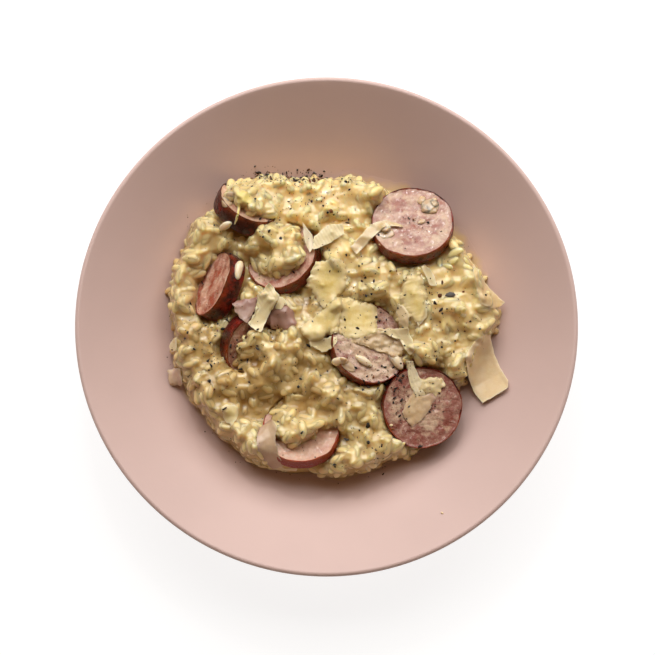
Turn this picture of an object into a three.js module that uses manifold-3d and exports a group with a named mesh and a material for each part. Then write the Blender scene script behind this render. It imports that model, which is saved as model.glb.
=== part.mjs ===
// Sausage risotto on its plate: a deep coupe plate, a heap of risotto, eight slices of smoked
// sausage laid in it and the larger shavings of hard cheese on top.
//
// Millimetres. +Z is up, the plate's foot stands on z = 0 and the plate's axis is the Z axis.
// -Y is the side that faces the viewer.

import * as THREE from "three";
import { mergeVertices } from "three/addons/utils/BufferGeometryUtils.js";
import Module from "manifold-3d";

const wasm = await Module();
wasm.setup();

const { degToRad, clamp, lerp } = THREE.MathUtils;

// ---------------------------------------------------------------- driving dimensions

const PLATE_RADIUS = 120;
const PLATE_HEIGHT = 38;
const FLOOR_TOP = 6; // inner surface of the flat middle
const FLOOR_THICKNESS = 4.4;
const BEND_RADIUS = 40; // the inner surface's bend between the floor and the wall
const WALL_SLOPE = degToRad(34);
const LIP_RADIUS = 1.5; // the rounded edge is twice this thick
const FOOT_OUTER = 56;
const FOOT_INNER = 48;
const FOOT_SLOPE = 2; // how far the foot ring's inner side leans in
const PLATE_SEGMENTS = 60;
const BEND_STEPS = 5;
const UNDERSIDE_STEPS = 3;
const LIP_STEPS = 5;

const HEAP_MIDDLE = new THREE.Vector2(3, 1);
// How far the risotto reaches from its middle, one value each 15 degrees from +X towards +Y.
const HEAP_REACH = [
  79.5, 78.5, 74, 75, 73.5, 74, 73.5, 77, 83, 83, 84, 81.5, 78.5, 78, 77.5, 75.5, 77.5, 72.5,
  73.5, 71.5, 73, 71, 67.5, 71,
];
const HEAP_CROWN = 29; // height of the middle over the table
const HEAP_SHOULDER = 20.5; // height just inside the outline
const HEAP_EDGE_START = 0.9; // share of the reach at which the shoulder rounds off
const HEAP_EDGE_THICKNESS = 3;
const HEAP_SEGMENTS = 60;

const GAP = 0.35; // clearance between pieces that touch
const WELD = 1e-4; // points closer than this are one

// Hollows in the heap: place, radius and depth.
const HOLLOWS = [
  { x: -29, y: -37, radius: 9, depth: 6 },
  { x: -9.5, y: 9, radius: 8, depth: 6 },
  { x: 6, y: -22, radius: 7, depth: 4 },
  { x: -64, y: 25, radius: 9, depth: 4.5 },
  { x: -38, y: 48, radius: 8, depth: 3 },
  { x: -47, y: 2, radius: 7, depth: 3 },
  { x: 60, y: -20, radius: 9, depth: 2.5 },
];

// Sausage slices. (x, y, z) is the middle of the upper face, lean the tilt of that face and
// toward the direction it looks, both in degrees; across and along are the face's half sizes,
// across in the direction of the lean.
const SLICES = [
  { x: 41.5, y: 50.2, z: 29.5, lean: 21, toward: 92, across: 19.6, along: 19.8, thickness: 7.4 },
  { x: 46, y: -39.2, z: 25.6, lean: 9, toward: -45, across: 19.2, along: 19.5, thickness: 7.2 },
  { x: 20.6, y: -8.8, z: 30.4, lean: 16, toward: 25, across: 18.2, along: 20.2, thickness: 7 },
  { x: -12.4, y: -49, z: 24.6, lean: 23, toward: 90, across: 18.6, along: 18.4, thickness: 7.4 },
  { x: -55, y: 20.7, z: 26.6, lean: 53, toward: 159, across: 11.6, along: 16.8, thickness: 9.6 },
  { x: -37.4, y: 60, z: 28.8, lean: 47, toward: 60, across: 13.6, along: 15.6, thickness: 9.8 },
  { x: -21.6, y: 34.4, z: 27, lean: 28, toward: 135, across: 17.6, along: 18, thickness: 7.6 },
  { x: -34, y: -8.4, z: 23, lean: 42, toward: -40, across: 15.4, along: 17, thickness: 7.6 },
].map((slice, i) => ({ name: `sausage_slice_${i + 1}`, ...slice }));
const SLICE_SEGMENTS = 24;
const CASING_ROUNDING = 1; // the casing rounds over at both cut faces
const SLICE_MARGIN = 1.08; // a shaving keeps clear of a slice a little past its edge

// Cheese shavings. Corners go round the sheet in plan; lift raises the sheet at each corner
// above what it lies on, and curl bows its middle up.
const SHAVINGS = [
  { corners: [[71, -6.5], [79.5, -2.5], [88, -29.5], [74.5, -36.5]], lift: [0.5, 1.5, 1, 1.5], curl: 1.2 },
  { corners: [[12.2, 35], [16.6, 38], [37.4, 49.2], [30, 53.2]], lift: [0.5, 0.5, 2, 1], curl: 2.2 },
  { corners: [[-12.2, 50], [-6.2, 46], [-5.2, 38], [-8.4, 33.6]], lift: [2, 5, 5, 1], curl: 1.5 },
  { corners: [[-4.4, 49.6], [8.6, 43.2], [5, 38], [-4, 35.4]], lift: [1, 1, 0.5, 1], curl: 1.4 },
  { corners: [[-27.2, 19.6], [-19, 12.4], [-31.4, -4.2], [-45, 10.4]], lift: [1.5, 5, 1, 0.5], curl: 1 },
  { corners: [[-6, 30], [9.4, 31], [10.4, 17], [-9.6, 16.6]], lift: [1, 0.5, 0.5, 2], curl: 0.8 },
  { corners: [[-14.6, 4.4], [3, 8.6], [6.2, -6.2], [-8, -9]], lift: [1, 0.5, 1, 2.5], curl: 0.6 },
  { corners: [[3.4, 12], [22, 11.4], [24.4, -6.6], [8.6, -8.2]], lift: [0.5, 0.5, 1, 1.5], curl: 0.8 },
  { corners: [[45, 24.6], [36.4, 18.6], [40, -0.8], [49, 11.4]], lift: [1, 0.5, 1.5, 0.5], curl: 1 },
  { corners: [[25.6, -1], [37.6, -0.8], [41.8, -14], [37.6, -14.6]], lift: [0.5, 3, 2.5, 1], curl: 1.5 },
  { corners: [[42.4, -23], [57, -30.6], [49.6, -48], [36, -44.6]], lift: [1, 0.6, 0.4, 0.4], curl: 0.6 },
  { corners: [[-35, -43.6], [-23.4, -42.4], [-23.4, -65.6], [-32, -65.4]], lift: [1, 1, 1, 0.5], curl: 2 },
  { corners: [[-44.4, 66], [-33.4, 66.6], [-33, 56.4], [-43.4, 55.6]], lift: [1, 1.5, 1, 0.5], curl: 1 },
  { corners: [[74, 21], [87, 13.6], [84.6, 10], [73.6, 12.6]], lift: [0.3, 1.5, 1.2, 0.3], curl: 0.8 },
].map((shaving, i) => ({ name: `cheese_shaving_${i + 1}`, ...shaving }));
const SHAVING_THICKNESS = 0.9;
const SHAVING_STEPS = 5; // grid cells along each side
const DRAPE_REACH = 2.2; // a shaving is too stiff to follow hollows narrower than this

const COLOURS = {
  plate: 0xcdaaa0,
  risotto: 0xd8bd84,
  meat: 0xb98078,
  cheese: 0xe3d09a,
};

// ---------------------------------------------------------------- solids and meshes

const materials = {
  plate: new THREE.MeshStandardMaterial({ color: COLOURS.plate, roughness: 0.45, metalness: 0 }),
  risotto: new THREE.MeshStandardMaterial({ color: COLOURS.risotto, roughness: 0.3, metalness: 0 }),
  meat: new THREE.MeshStandardMaterial({ color: COLOURS.meat, roughness: 0.35, metalness: 0 }),
  cheese: new THREE.MeshStandardMaterial({ color: COLOURS.cheese, roughness: 0.4, metalness: 0 }),
};

// A closed three.js geometry as a solid that can be cut and joined.
function solidFrom(geometry) {
  const bare = new THREE.BufferGeometry();
  bare.setAttribute("position", geometry.getAttribute("position"));
  bare.setIndex(geometry.getIndex());
  const merged = mergeVertices(bare, WELD);
  return new wasm.Manifold(
    new wasm.Mesh({
      numProp: 3,
      vertProperties: merged.getAttribute("position").array,
      triVerts: new Uint32Array(merged.getIndex().array),
    }),
  );
}

// The largest connected piece of a solid: a cut can leave crumbs.
function mainPiece(solid) {
  return solid.decompose().reduce((a, b) => (b.volume() > a.volume() ? b : a));
}

function meshFrom(solid, name, material) {
  const mesh = solid.getMesh();
  const positions = new Float32Array(mesh.numVert * 3);
  for (let i = 0; i < mesh.numVert; i++) {
    const start = i * mesh.numProp;
    positions.set(mesh.vertProperties.subarray(start, start + 3), i * 3);
  }
  const geometry = new THREE.BufferGeometry();
  geometry.setAttribute("position", new THREE.BufferAttribute(positions, 3));
  geometry.setIndex(new THREE.BufferAttribute(new Uint32Array(mesh.triVerts), 1));
  geometry.computeVertexNormals();
  const made = new THREE.Mesh(geometry, material);
  made.name = name;
  return made;
}

// A solid of revolution about Z from [radius, height] pairs that run counterclockwise.
function turned(profile, segments) {
  const points = profile.map(([radius, height]) => new THREE.Vector2(radius, height));
  const geometry = new THREE.LatheGeometry(points, segments);
  geometry.rotateX(Math.PI / 2);
  return geometry;
}

// Points along an arc in the profile plane, angles in radians.
function arc(centre, radius, from, to, steps) {
  return Array.from({ length: steps + 1 }, (_, i) => {
    const angle = lerp(from, to, i / steps);
    return [centre[0] + radius * Math.cos(angle), centre[1] + radius * Math.sin(angle)];
  });
}

// ---------------------------------------------------------------- plate

// The wall is a straight line in section, tangent to the bend below and to the lip above.
const lipCentre = [PLATE_RADIUS - LIP_RADIUS, PLATE_HEIGHT - LIP_RADIUS];
const wallTop = [
  lipCentre[0] - LIP_RADIUS * Math.sin(WALL_SLOPE),
  lipCentre[1] + LIP_RADIUS * Math.cos(WALL_SLOPE),
];
const bendRise = BEND_RADIUS * (1 - Math.cos(WALL_SLOPE));
const wallFoot = wallTop[0] - (wallTop[1] - FLOOR_TOP - bendRise) / Math.tan(WALL_SLOPE);
const floorRadius = wallFoot - BEND_RADIUS * Math.sin(WALL_SLOPE);
const bendCentre = [floorRadius, FLOOR_TOP + BEND_RADIUS];

// Height of the plate's inner surface at a distance from its axis.
function plateTop(radius) {
  if (radius <= floorRadius) return FLOOR_TOP;
  if (radius >= wallFoot) return FLOOR_TOP + bendRise + (radius - wallFoot) * Math.tan(WALL_SLOPE);
  return bendCentre[1] - Math.sqrt(BEND_RADIUS ** 2 - (radius - floorRadius) ** 2);
}

function makePlate() {
  const down = -Math.PI / 2;
  const underside = BEND_RADIUS + FLOOR_THICKNESS;
  const recess = FLOOR_TOP - FLOOR_THICKNESS;
  const inner = arc(bendCentre, BEND_RADIUS, down + WALL_SLOPE, down, BEND_STEPS);
  const profile = [
    [0, recess],
    [FOOT_INNER - FOOT_SLOPE, recess],
    [FOOT_INNER, 0],
    [FOOT_OUTER, 0],
    ...arc(bendCentre, underside, down, down + WALL_SLOPE, UNDERSIDE_STEPS),
    ...arc(lipCentre, LIP_RADIUS, down + WALL_SLOPE, Math.PI / 2 + WALL_SLOPE, LIP_STEPS),
    [lerp(wallTop[0], wallFoot, 0.5), lerp(wallTop[1], FLOOR_TOP + bendRise, 0.5)],
    ...inner,
    [0, FLOOR_TOP],
  ];
  return solidFrom(turned(profile, PLATE_SEGMENTS));
}

// ---------------------------------------------------------------- heap of risotto

// The outline's reach in a direction: a smooth curve through HEAP_REACH with grain-sized bumps.
function heapReach(angle) {
  const count = HEAP_REACH.length;
  const turn = (((angle / (2 * Math.PI)) % 1) + 1) % 1;
  const at = turn * count;
  const i = Math.floor(at);
  const t = at - i;
  const [a, b, c, d] = [-1, 0, 1, 2].map((k) => HEAP_REACH[(i + k + count) % count]);
  const smooth =
    b + 0.5 * t * (c - a + t * (2 * a - 5 * b + 4 * c - d + t * (3 * (b - c) + d - a)));
  return smooth + 0.8 * Math.sin(13 * angle + 1) + 0.6 * Math.sin(23 * angle);
}

// Uneven spoonfuls: crossing waves a few centimetres long.
function heapWaves(x, y) {
  return (
    0.9 * Math.sin(x / 6.1 + y / 9.7) * Math.cos(y / 7.3 - x / 15) +
    0.7 * Math.sin(y / 4.9 - x / 7.7 + 2) +
    0.6 * Math.cos(x / 4.1 + 0.4 * Math.sin(y / 8))
  );
}

function heapTop(x, y) {
  const dx = x - HEAP_MIDDLE.x;
  const dy = y - HEAP_MIDDLE.y;
  const share = Math.hypot(dx, dy) / heapReach(Math.atan2(dy, dx));
  let z = lerp(HEAP_CROWN, HEAP_SHOULDER, share ** 2.2) + heapWaves(x, y);
  for (const hollow of HOLLOWS) {
    const away = ((x - hollow.x) ** 2 + (y - hollow.y) ** 2) / hollow.radius ** 2;
    z -= hollow.depth * Math.exp(-away);
  }
  const foot = plateTop(Math.hypot(x, y)) + HEAP_EDGE_THICKNESS;
  const over = clamp((share - HEAP_EDGE_START) / (1 - HEAP_EDGE_START), 0, 1);
  return foot + (z - foot) * Math.sqrt(1 - over ** 2);
}

// A round blank whose rows are shares of the reach: over the top, down the edge and back
// along the plate.
function makeHeap() {
  const topRows = [0, 0.1, 0.2, 0.3, 0.4, 0.5, 0.6, 0.7, 0.79, 0.87, 0.93, 0.97, 0.992, 1];
  const bottomRows = [1, 0.93, 0.85, 0.76, 0.6, 0.3, 0];
  const blank = turned(
    [...bottomRows.map((s) => [s, 0]).reverse(), ...topRows.map((s) => [s, 1]).reverse()],
    HEAP_SEGMENTS,
  );
  const position = blank.getAttribute("position");
  for (let i = 0; i < position.count; i++) {
    const share = Math.hypot(position.getX(i), position.getY(i));
    const angle = Math.atan2(position.getY(i), position.getX(i));
    const reach = share * heapReach(angle);
    const x = HEAP_MIDDLE.x + reach * Math.cos(angle);
    const y = HEAP_MIDDLE.y + reach * Math.sin(angle);
    const under = plateTop(Math.hypot(x, y)) + GAP;
    const isTop = position.getZ(i) > 0.5;
    position.setXYZ(i, x, y, isTop ? heapTop(x, y) : under);
  }
  return solidFrom(blank);
}

// ---------------------------------------------------------------- sausage slices

// The direction that a slice's upper face looks in.
function faceNormal(slice) {
  const lean = degToRad(slice.lean);
  const toward = degToRad(slice.toward);
  return new THREE.Vector3(
    Math.sin(lean) * Math.cos(toward),
    Math.sin(lean) * Math.sin(toward),
    Math.cos(lean),
  );
}

// A slice with its upper face's middle in place, larger by grow on every side.
function makeSlice(slice, grow = 0) {
  const top = grow;
  const bottom = -slice.thickness - grow;
  const rim = 1 + grow / slice.along;
  const shoulder = rim - CASING_ROUNDING / slice.along;
  const geometry = turned(
    [
      [0, bottom],
      [shoulder, bottom],
      [rim, bottom + CASING_ROUNDING],
      [rim, top - CASING_ROUNDING],
      [shoulder, top],
      [0, top],
    ],
    SLICE_SEGMENTS,
  );
  // Local X lies along the lean, Y across it; the outline is a little out of round.
  const position = geometry.getAttribute("position");
  for (let i = 0; i < position.count; i++) {
    const angle = Math.atan2(position.getY(i), position.getX(i));
    const uneven = 1 + 0.012 * Math.sin(2 * angle + slice.x) + 0.01 * Math.sin(3 * angle + slice.y);
    position.setX(i, position.getX(i) * slice.across * uneven);
    position.setY(i, position.getY(i) * slice.along * uneven);
  }
  geometry.rotateY(degToRad(slice.lean));
  geometry.rotateZ(degToRad(slice.toward));
  geometry.translate(slice.x, slice.y, slice.z);
  return solidFrom(geometry);
}

// Height of a slice's upper face over a point, or nothing where the slice isn't.
function sliceTop(slice, x, y) {
  const normal = faceNormal(slice);
  const dx = x - slice.x;
  const dy = y - slice.y;
  const dz = -(normal.x * dx + normal.y * dy) / normal.z;
  const toward = degToRad(slice.toward);
  const lean = degToRad(slice.lean);
  const u = (dx * Math.cos(toward) + dy * Math.sin(toward)) / Math.cos(lean);
  const v = -dx * Math.sin(toward) + dy * Math.cos(toward);
  const inside = (u / slice.across) ** 2 + (v / slice.along) ** 2 < SLICE_MARGIN ** 2;
  return inside ? slice.z + dz : -Infinity;
}

// ---------------------------------------------------------------- cheese shavings

// A value between a sheet's four corners; u and v run from 0 to 1.
function blend(values, u, v) {
  return lerp(lerp(values[0], values[1], u), lerp(values[3], values[2], u), v);
}

// The highest of plate, heap and slices over a point.
function foodTop(x, y) {
  const slices = SLICES.map((slice) => sliceTop(slice, x, y));
  return Math.max(plateTop(Math.hypot(x, y)), heapTop(x, y), ...slices);
}

// The grid of a shaving's middle surface, laid on the food below it.
function layShaving(shaving) {
  const rows = [];
  for (let j = 0; j <= SHAVING_STEPS; j++) {
    const row = [];
    for (let i = 0; i <= SHAVING_STEPS; i++) {
      const u = i / SHAVING_STEPS;
      const v = j / SHAVING_STEPS;
      const x = blend(shaving.corners.map((c) => c[0]), u, v);
      const y = blend(shaving.corners.map((c) => c[1]), u, v);
      let rest = -Infinity;
      for (const [sx, sy] of [[0, 0], [1, 0], [-1, 0], [0, 1], [0, -1]])
        rest = Math.max(rest, foodTop(x + sx * DRAPE_REACH, y + sy * DRAPE_REACH));
      const bow = shaving.curl * Math.sin(Math.PI * u) * Math.sin(Math.PI * v);
      const lift = blend(shaving.lift, u, v) + GAP + SHAVING_THICKNESS / 2;
      row.push(new THREE.Vector3(x, y, rest + lift + bow));
    }
    rows.push(row);
  }
  return rows;
}

// A closed sheet of a given thickness about a grid of points, its outline larger by grow.
function thickenGrid(rows, thickness, grow = 0) {
  const size = SHAVING_STEPS + 1;
  const middle = rows.flat().reduce((sum, p) => sum.add(p), new THREE.Vector3());
  middle.divideScalar(size * size);
  const positions = [];
  for (const side of [1, -1])
    for (const point of rows.flat()) {
      const out = point.clone().sub(middle).setZ(0);
      const moved = point.clone().add(out.normalize().multiplyScalar(grow));
      positions.push(moved.x, moved.y, moved.z + (side * thickness) / 2);
    }
  const index = [];
  const at = (side, i, j) => side * size * size + j * size + i;
  for (let j = 0; j < SHAVING_STEPS; j++)
    for (let i = 0; i < SHAVING_STEPS; i++) {
      const [a, b, c, d] = [at(0, i, j), at(0, i + 1, j), at(0, i + 1, j + 1), at(0, i, j + 1)];
      const n = size * size;
      index.push(a, b, c, a, c, d, a + n, c + n, b + n, a + n, d + n, c + n);
    }
  // The rim, in order round the sheet.
  const rim = [];
  for (let i = 0; i < SHAVING_STEPS; i++) rim.push([i, 0]);
  for (let j = 0; j < SHAVING_STEPS; j++) rim.push([SHAVING_STEPS, j]);
  for (let i = SHAVING_STEPS; i > 0; i--) rim.push([i, SHAVING_STEPS]);
  for (let j = SHAVING_STEPS; j > 0; j--) rim.push([0, j]);
  rim.forEach(([i, j], k) => {
    const [p, q] = rim[(k + 1) % rim.length];
    index.push(at(0, i, j), at(1, i, j), at(1, p, q), at(0, i, j), at(1, p, q), at(0, p, q));
  });
  const geometry = new THREE.BufferGeometry();
  geometry.setAttribute("position", new THREE.Float32BufferAttribute(positions, 3));
  geometry.setIndex(index);
  const solid = solidFrom(geometry);
  if (solid.volume() > 0) return solid;
  geometry.setIndex(index.reverse());
  return solidFrom(geometry);
}

// ---------------------------------------------------------------- assembly

const dish = new THREE.Group();
dish.add(meshFrom(makePlate(), "plate", materials.plate));

let heap = makeHeap();
for (const slice of SLICES) {
  heap = heap.subtract(makeSlice(slice, GAP));
  dish.add(meshFrom(makeSlice(slice), slice.name, materials.meat));
}

const laid = [];
for (const shaving of SHAVINGS) {
  const rows = layShaving(shaving);
  let solid = thickenGrid(rows, SHAVING_THICKNESS);
  for (const slice of SLICES) solid = solid.subtract(makeSlice(slice, GAP));
  for (const earlier of laid) solid = solid.subtract(earlier);
  laid.push(thickenGrid(rows, SHAVING_THICKNESS + 2 * GAP, GAP));
  heap = heap.subtract(laid.at(-1));
  dish.add(meshFrom(mainPiece(solid), shaving.name, materials.cheese));
}
dish.add(meshFrom(mainPiece(heap), "risotto", materials.risotto));

export default dish;
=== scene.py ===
"""A plate of sausage risotto: glazed plate, creamy rice, fried sausage slices, cheese shavings, pepper.

Shapes are worked out in millimetres in the part's frame, +Z up, and put into the meshes in metres.
"""

import math

import bpy
import numpy as np
from bpy.props import FloatProperty, FloatVectorProperty, IntProperty, PointerProperty
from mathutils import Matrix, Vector


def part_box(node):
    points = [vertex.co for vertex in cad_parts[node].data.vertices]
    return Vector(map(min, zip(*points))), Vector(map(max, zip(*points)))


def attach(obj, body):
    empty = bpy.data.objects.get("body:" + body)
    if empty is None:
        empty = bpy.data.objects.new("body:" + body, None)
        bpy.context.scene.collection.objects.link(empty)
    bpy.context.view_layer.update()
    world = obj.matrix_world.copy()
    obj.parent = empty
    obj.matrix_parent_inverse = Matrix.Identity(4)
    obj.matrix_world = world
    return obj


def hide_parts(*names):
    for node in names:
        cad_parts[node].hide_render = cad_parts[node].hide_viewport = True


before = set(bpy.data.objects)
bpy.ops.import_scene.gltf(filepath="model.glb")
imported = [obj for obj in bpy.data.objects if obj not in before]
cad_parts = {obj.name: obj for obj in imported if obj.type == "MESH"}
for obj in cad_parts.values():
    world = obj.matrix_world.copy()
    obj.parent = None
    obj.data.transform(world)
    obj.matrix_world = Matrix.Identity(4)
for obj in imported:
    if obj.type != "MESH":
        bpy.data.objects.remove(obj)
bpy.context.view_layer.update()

bl_info = {
    "name": "Sausage Risotto",
    "version": (1, 0, 0),
    "blender": (4, 5, 0),
    "location": "3D View > Sidebar > Risotto",
    "description": "Builds a plate of sausage risotto around its packed solids",
    "category": "Add Mesh",
}

MM = 0.001  # metres in a millimetre
BODY = "root"


def srgb(red, green, blue):
    """A linear colour from display values of 0 to 255."""
    shown = np.array([red, green, blue]) / 255
    return tuple(np.where(shown <= 0.04045, shown / 12.92, ((shown + 0.055) / 1.055) ** 2.4))


PLATE_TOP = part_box("plate")[1][2]  # the CAD plate's lip, in metres


# ---------------------------------------------------------------- settings


def length(name, description, metres):
    """A setting in metres."""
    return FloatProperty(name=name, description=description, default=metres, unit="LENGTH")


def power(name, description, watts):
    """A setting in watts."""
    return FloatProperty(name=name, description=description, default=watts, unit="POWER")


def whole(name, description, value):
    """A setting that is a whole number."""
    return IntProperty(name=name, description=description, default=value)


def colour(name, description, *shown):
    """A colour setting from display values of 0 to 255."""
    return FloatVectorProperty(name=name, description=description, subtype="COLOR", default=srgb(*shown))


class PlateSettings(bpy.types.PropertyGroup):
    radius: length("Radius", "Half the plate's width", 0.12)
    height: length("Height", "Foot to lip", PLATE_TOP)
    glaze: colour("Glaze", "Colour of the glaze", 208, 180, 172)
    raw: colour("Bare clay", "Colour of the unglazed foot", 205, 192, 176)


class RiceSettings(bpy.types.PropertyGroup):
    grain_length: length("Grain length", "Length of a cooked grain", 0.0082)
    grain_width: length("Grain width", "Width of a cooked grain", 0.0040)
    spacing: length("Spacing", "Mean distance between grains laid on the heap", 0.0036)
    cream_depth: length("Cream depth", "How far the cream lies below the grains' tops", 0.0002)
    seed: whole("Seed", "Seed of the grains' places", 7)
    grain: colour("Grain", "Colour of the grains", 239, 208, 147)
    cream: colour("Cream", "Colour of the cream", 225, 198, 138)
    # Used for thicker cream and for painted shade in hollows and the darker patches.
    deep: colour("Deep cream", "Colour of the cream in hollows", 160, 116, 52)
    bare: colour("Bare grain", "Colour of the grains that lie clear on the slices", 232, 212, 180)
    thin: colour("Thin cream", "Colour of the see-through lumps of cream", 202, 174, 142)


class SausageSettings(bpy.types.PropertyGroup):
    casing: colour("Casing", "Colour of the smoked casing", 122, 28, 9)
    fat: colour("Fat", "Colour of the pale flecks in the meat", 232, 208, 182)
    sauce: colour("Smear", "Colour of cream smeared on the meat", 216, 188, 158)


class CheeseSettings(bpy.types.PropertyGroup):
    thickness: length("Thickness", "Thickness of a shaving", 0.0005)
    seed: whole("Seed", "Seed of the torn edges", 5)
    edge: colour("Edge", "Colour of the thin edges", 244, 236, 206)


class PepperSettings(bpy.types.PropertyGroup):
    size: length("Size", "Mean width of a coarse flake", 0.00085)
    dust: whole("Dust", "Number of fine grains", 1500)
    seed: whole("Seed", "Seed of the pepper's places", 21)
    black: colour("Pepper", "Colour of the pepper", 38, 30, 24)
    brown: colour("Husk", "Colour of the husks", 112, 62, 26)
    grey: colour("Grey", "Colour of the grey flakes", 86, 82, 78)
    crumb: colour("Crumb", "Colour of the crumbs of fat and rice", 236, 214, 168)


class StageSettings(bpy.types.PropertyGroup):
    distance: length("Camera distance", "Camera to the food", 1.0)
    elevation: FloatProperty(
        name="Camera elevation", description="Angle above the table", subtype="ANGLE",
        default=math.radians(83),
    )
    lens: FloatProperty(name="Lens", description="Focal length", default=113.3, unit="CAMERA")
    key: power("Key light", "Power of the window light", 39.4)
    glint: power("Glint", "Power of the small light for glints", 3.4)
    fill: FloatProperty(name="Fill", description="Strength of the room's light", default=0.16)


# ---------------------------------------------------------------- measures of the part, millimetres

WALL_SLOPE = math.radians(34)
FLOOR_TOP = 6.0
FLOOR_THICKNESS = 4.4
BEND_RADIUS = 40.0
LIP_RADIUS = 1.5
FOOT_OUTER = 56.0
FOOT_INNER = 48.0
FOOT_ROUNDING = 0.7
PLATE_RADIUS = 120.0  # of the CAD plate
PLATE_SEGMENTS = 256

HEAP_MIDDLE = np.array([3.0, 1.0])
# How far the risotto reaches from its middle, one value each 15 degrees from +X towards +Y.
HEAP_REACH = np.array([
    79.5, 78.5, 74, 75, 73.5, 74, 73.5, 77, 83, 83, 84, 81.5, 78.5, 78, 77.5, 75.5, 77.5, 72.5,
    73.5, 71.5, 73, 71, 67.5, 71,
])
HEAP_CROWN = 29.0
HEAP_SHOULDER = 20.5
HEAP_EDGE_START = 0.9
HEAP_EDGE_THICKNESS = 3.0
BED_DEPTH = 3.4  # how far the bed that the grains fall on lies below the heap's top
CREAM_GAP = 0.3  # least height of the cream over the plate
# Hollows in the heap: x, y, radius, depth.
HOLLOWS = np.array([
    [-29, -37, 9, 6], [-9.5, 9, 8, 6], [6, -22, 7, 4], [-64, 25, 9, 4.5], [-38, 48, 8, 3],
    [-47, 2, 7, 3], [60, -20, 9, 2.5],
])

# ---------------------------------------------------------------- measures of the look, millimetres

HEAP_FADE = 8  # lumps fade out over the last eighth of the way to the heap's edge

RIM_LEVELS, RIM_COUNT = 4, 105  # rings of grains banked against the heap's side, grains in the lowest
RIM_INSET, RIM_STEP = 1.7, 1.5  # how far in the lowest ring lies, and each further one
LAYER_SINKING = (1.1, 0.8)  # how deep the grains of each layer of the top settle
PLACE_JITTER = 0.38  # how far a grain is moved from its place in the grid, in grid steps
GRAIN_RINGS, GRAIN_SIDES = 8, 9
GRAIN_TAPER, GRAIN_LUMPS, GRAIN_BEND = 0.16, 0.07, 0.5
GRAIN_STEEPEST, GRAIN_TILT = 0.75, 0.12  # steepest slope of a grain, and the spread of its tilt
GRAINS_A_PIECE = 1150

# A slice's relief: depth of its pits and of its dished middle, height and width of its raised rim,
# how far the casing bulges and wrinkles, how thick a smear is, and how wide the casing shows on top.
PIT_DEPTH, DISH_DEPTH, RIM_HEIGHT, RIM_WIDTH = 0.22, 0.4, 0.35, 0.8
BULGE, WRINKLE, SMEAR_HEIGHT, CASING_WIDTH = 0.35, 0.16, 0.35, 0.6

# A sheet of cheese: grid step, reach of molten edges and of curled ones, width over which it thins
# to its edge, and the spacing of ribs and ridges.
SHEET_STEP, MELT_REACH, CURL_REACH, THIN_REACH = 0.36, 1.1, 1.3, 0.9
RIB_SPACING, RIDGE_SPACING = 1.3, 1.5
MELT_SINK = 0.25  # how far a molten edge lies below the food's top

# Spoonfuls on the heap: x, y, half width, half depth, turn in degrees, and height.
SPOONFULS = np.array([
    [-22, 2, 32, 9, 4, 3.0], [-6, -21, 14, 6, 8, -3.0], [-12, -35, 20, 7, 6, 1.8],
    [14, -38, 10, 6, -10, 1.0], [4, -55, 24, 7, 4, -1.6], [28, -60, 9, 6, 20, -1.6],
    [0, -69, 40, 8, 0, -2.6], [-10, 54, 26, 7, 0, 1.8], [-16, 44, 16, 5, 0, -1.0],
    [16, 22, 12, 7, 30, -1.2], [48, 26, 14, 9, 20, 1.4], [46, -16, 12, 6, 0, 1.5],
    [64, 8, 10, 6, -30, 1.0],
])

# Painted shade and light on the risotto: x, y, half width, half depth, and how much darker or paler.
PAINTED_SHADES = np.array([
    [-4, 63, 32, 12, -0.6], [6, 44, 24, 13, -0.5], [-18, 52, 16, 10, -0.3], [54, 22, 18, 16, -0.1],
    [-62, 0, 12, 28, 0.45], [-44, -27, 18, 15, 0.5], [-18, -15, 22, 10, 0.45], [-2, -34, 28, 9, 0.6],
    [-50, -44, 14, 12, 0.2], [-8, 26, 10, 8, -0.2], [64, -6, 12, 10, 0.2], [68, 24, 12, 14, -0.45],
    [0, -63, 36, 8, 0.1], [46, -18, 12, 8, 0.2], [-2, 8, 16, 8, 0.25], [-11, 11, 5, 4, 0.5],
])
# Where the cream stands high and hides the grains: x, y, half width, half depth, and how much.
POOLS = np.array([
    [56, 20, 24, 24, 0.25], [66, 36, 10, 14, 1.3], [57, 32, 9, 6, 0.9], [22, 66, 9, 5, 0.7],
    [-4, 60, 26, 12, 0.15], [10, 42, 18, 12, 0.15], [-4, -30, 20, 8, 0.15], [-32, -30, 12, 8, 0.15],
])

# Sausage slices as in the part: middle of the upper face, lean and the direction it looks in
# degrees, half sizes across and along, and thickness; then the meat's colour, its share of pale
# flecks and of cream, how red the casing is, and how strong the dark streaks are.
SLICE_KEYS = "x y z lean toward across along thick tint fat smear warm streaks".split()
SLICES = [dict(zip(SLICE_KEYS, row)) for row in (
    (41.5, 50.2, 29.5, 21, 92, 19.6, 19.8, 7.4, srgb(184, 141, 125), 0.45, 0.4, 0, 1),
    (46, -39.2, 25.6, 9, -45, 19.2, 19.5, 7.2, srgb(150, 98, 84), 0.05, 0.35, 0, 1),
    (20.6, -8.8, 30.4, 16, 25, 18.2, 20.2, 7, srgb(166, 126, 114), 0.25, 1.0, 0, 1),
    (-12.4, -49, 24.6, 23, 90, 18.6, 18.4, 7.4, srgb(226, 184, 158), 0.15, 0.25, 0.8, 1),
    (-55, 20.7, 26.6, 53, 159, 11.6, 16.8, 9.6, srgb(196, 140, 118), 0.4, 0.25, -0.1, 1.7),
    (-37.4, 60, 28.8, 47, 60, 13.6, 15.6, 9.8, srgb(200, 158, 132), 0.3, 1.2, -0.4, 1),
    (-21.6, 34.4, 27, 28, 135, 17.6, 18, 7.6, srgb(200, 152, 132), 0.2, 0.6, -0.1, 1),
    (-34, -8.4, 23, 42, -40, 15.4, 17, 7.6, srgb(160, 110, 92), 0.15, 0.5, -0.3, 1),
)]

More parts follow.
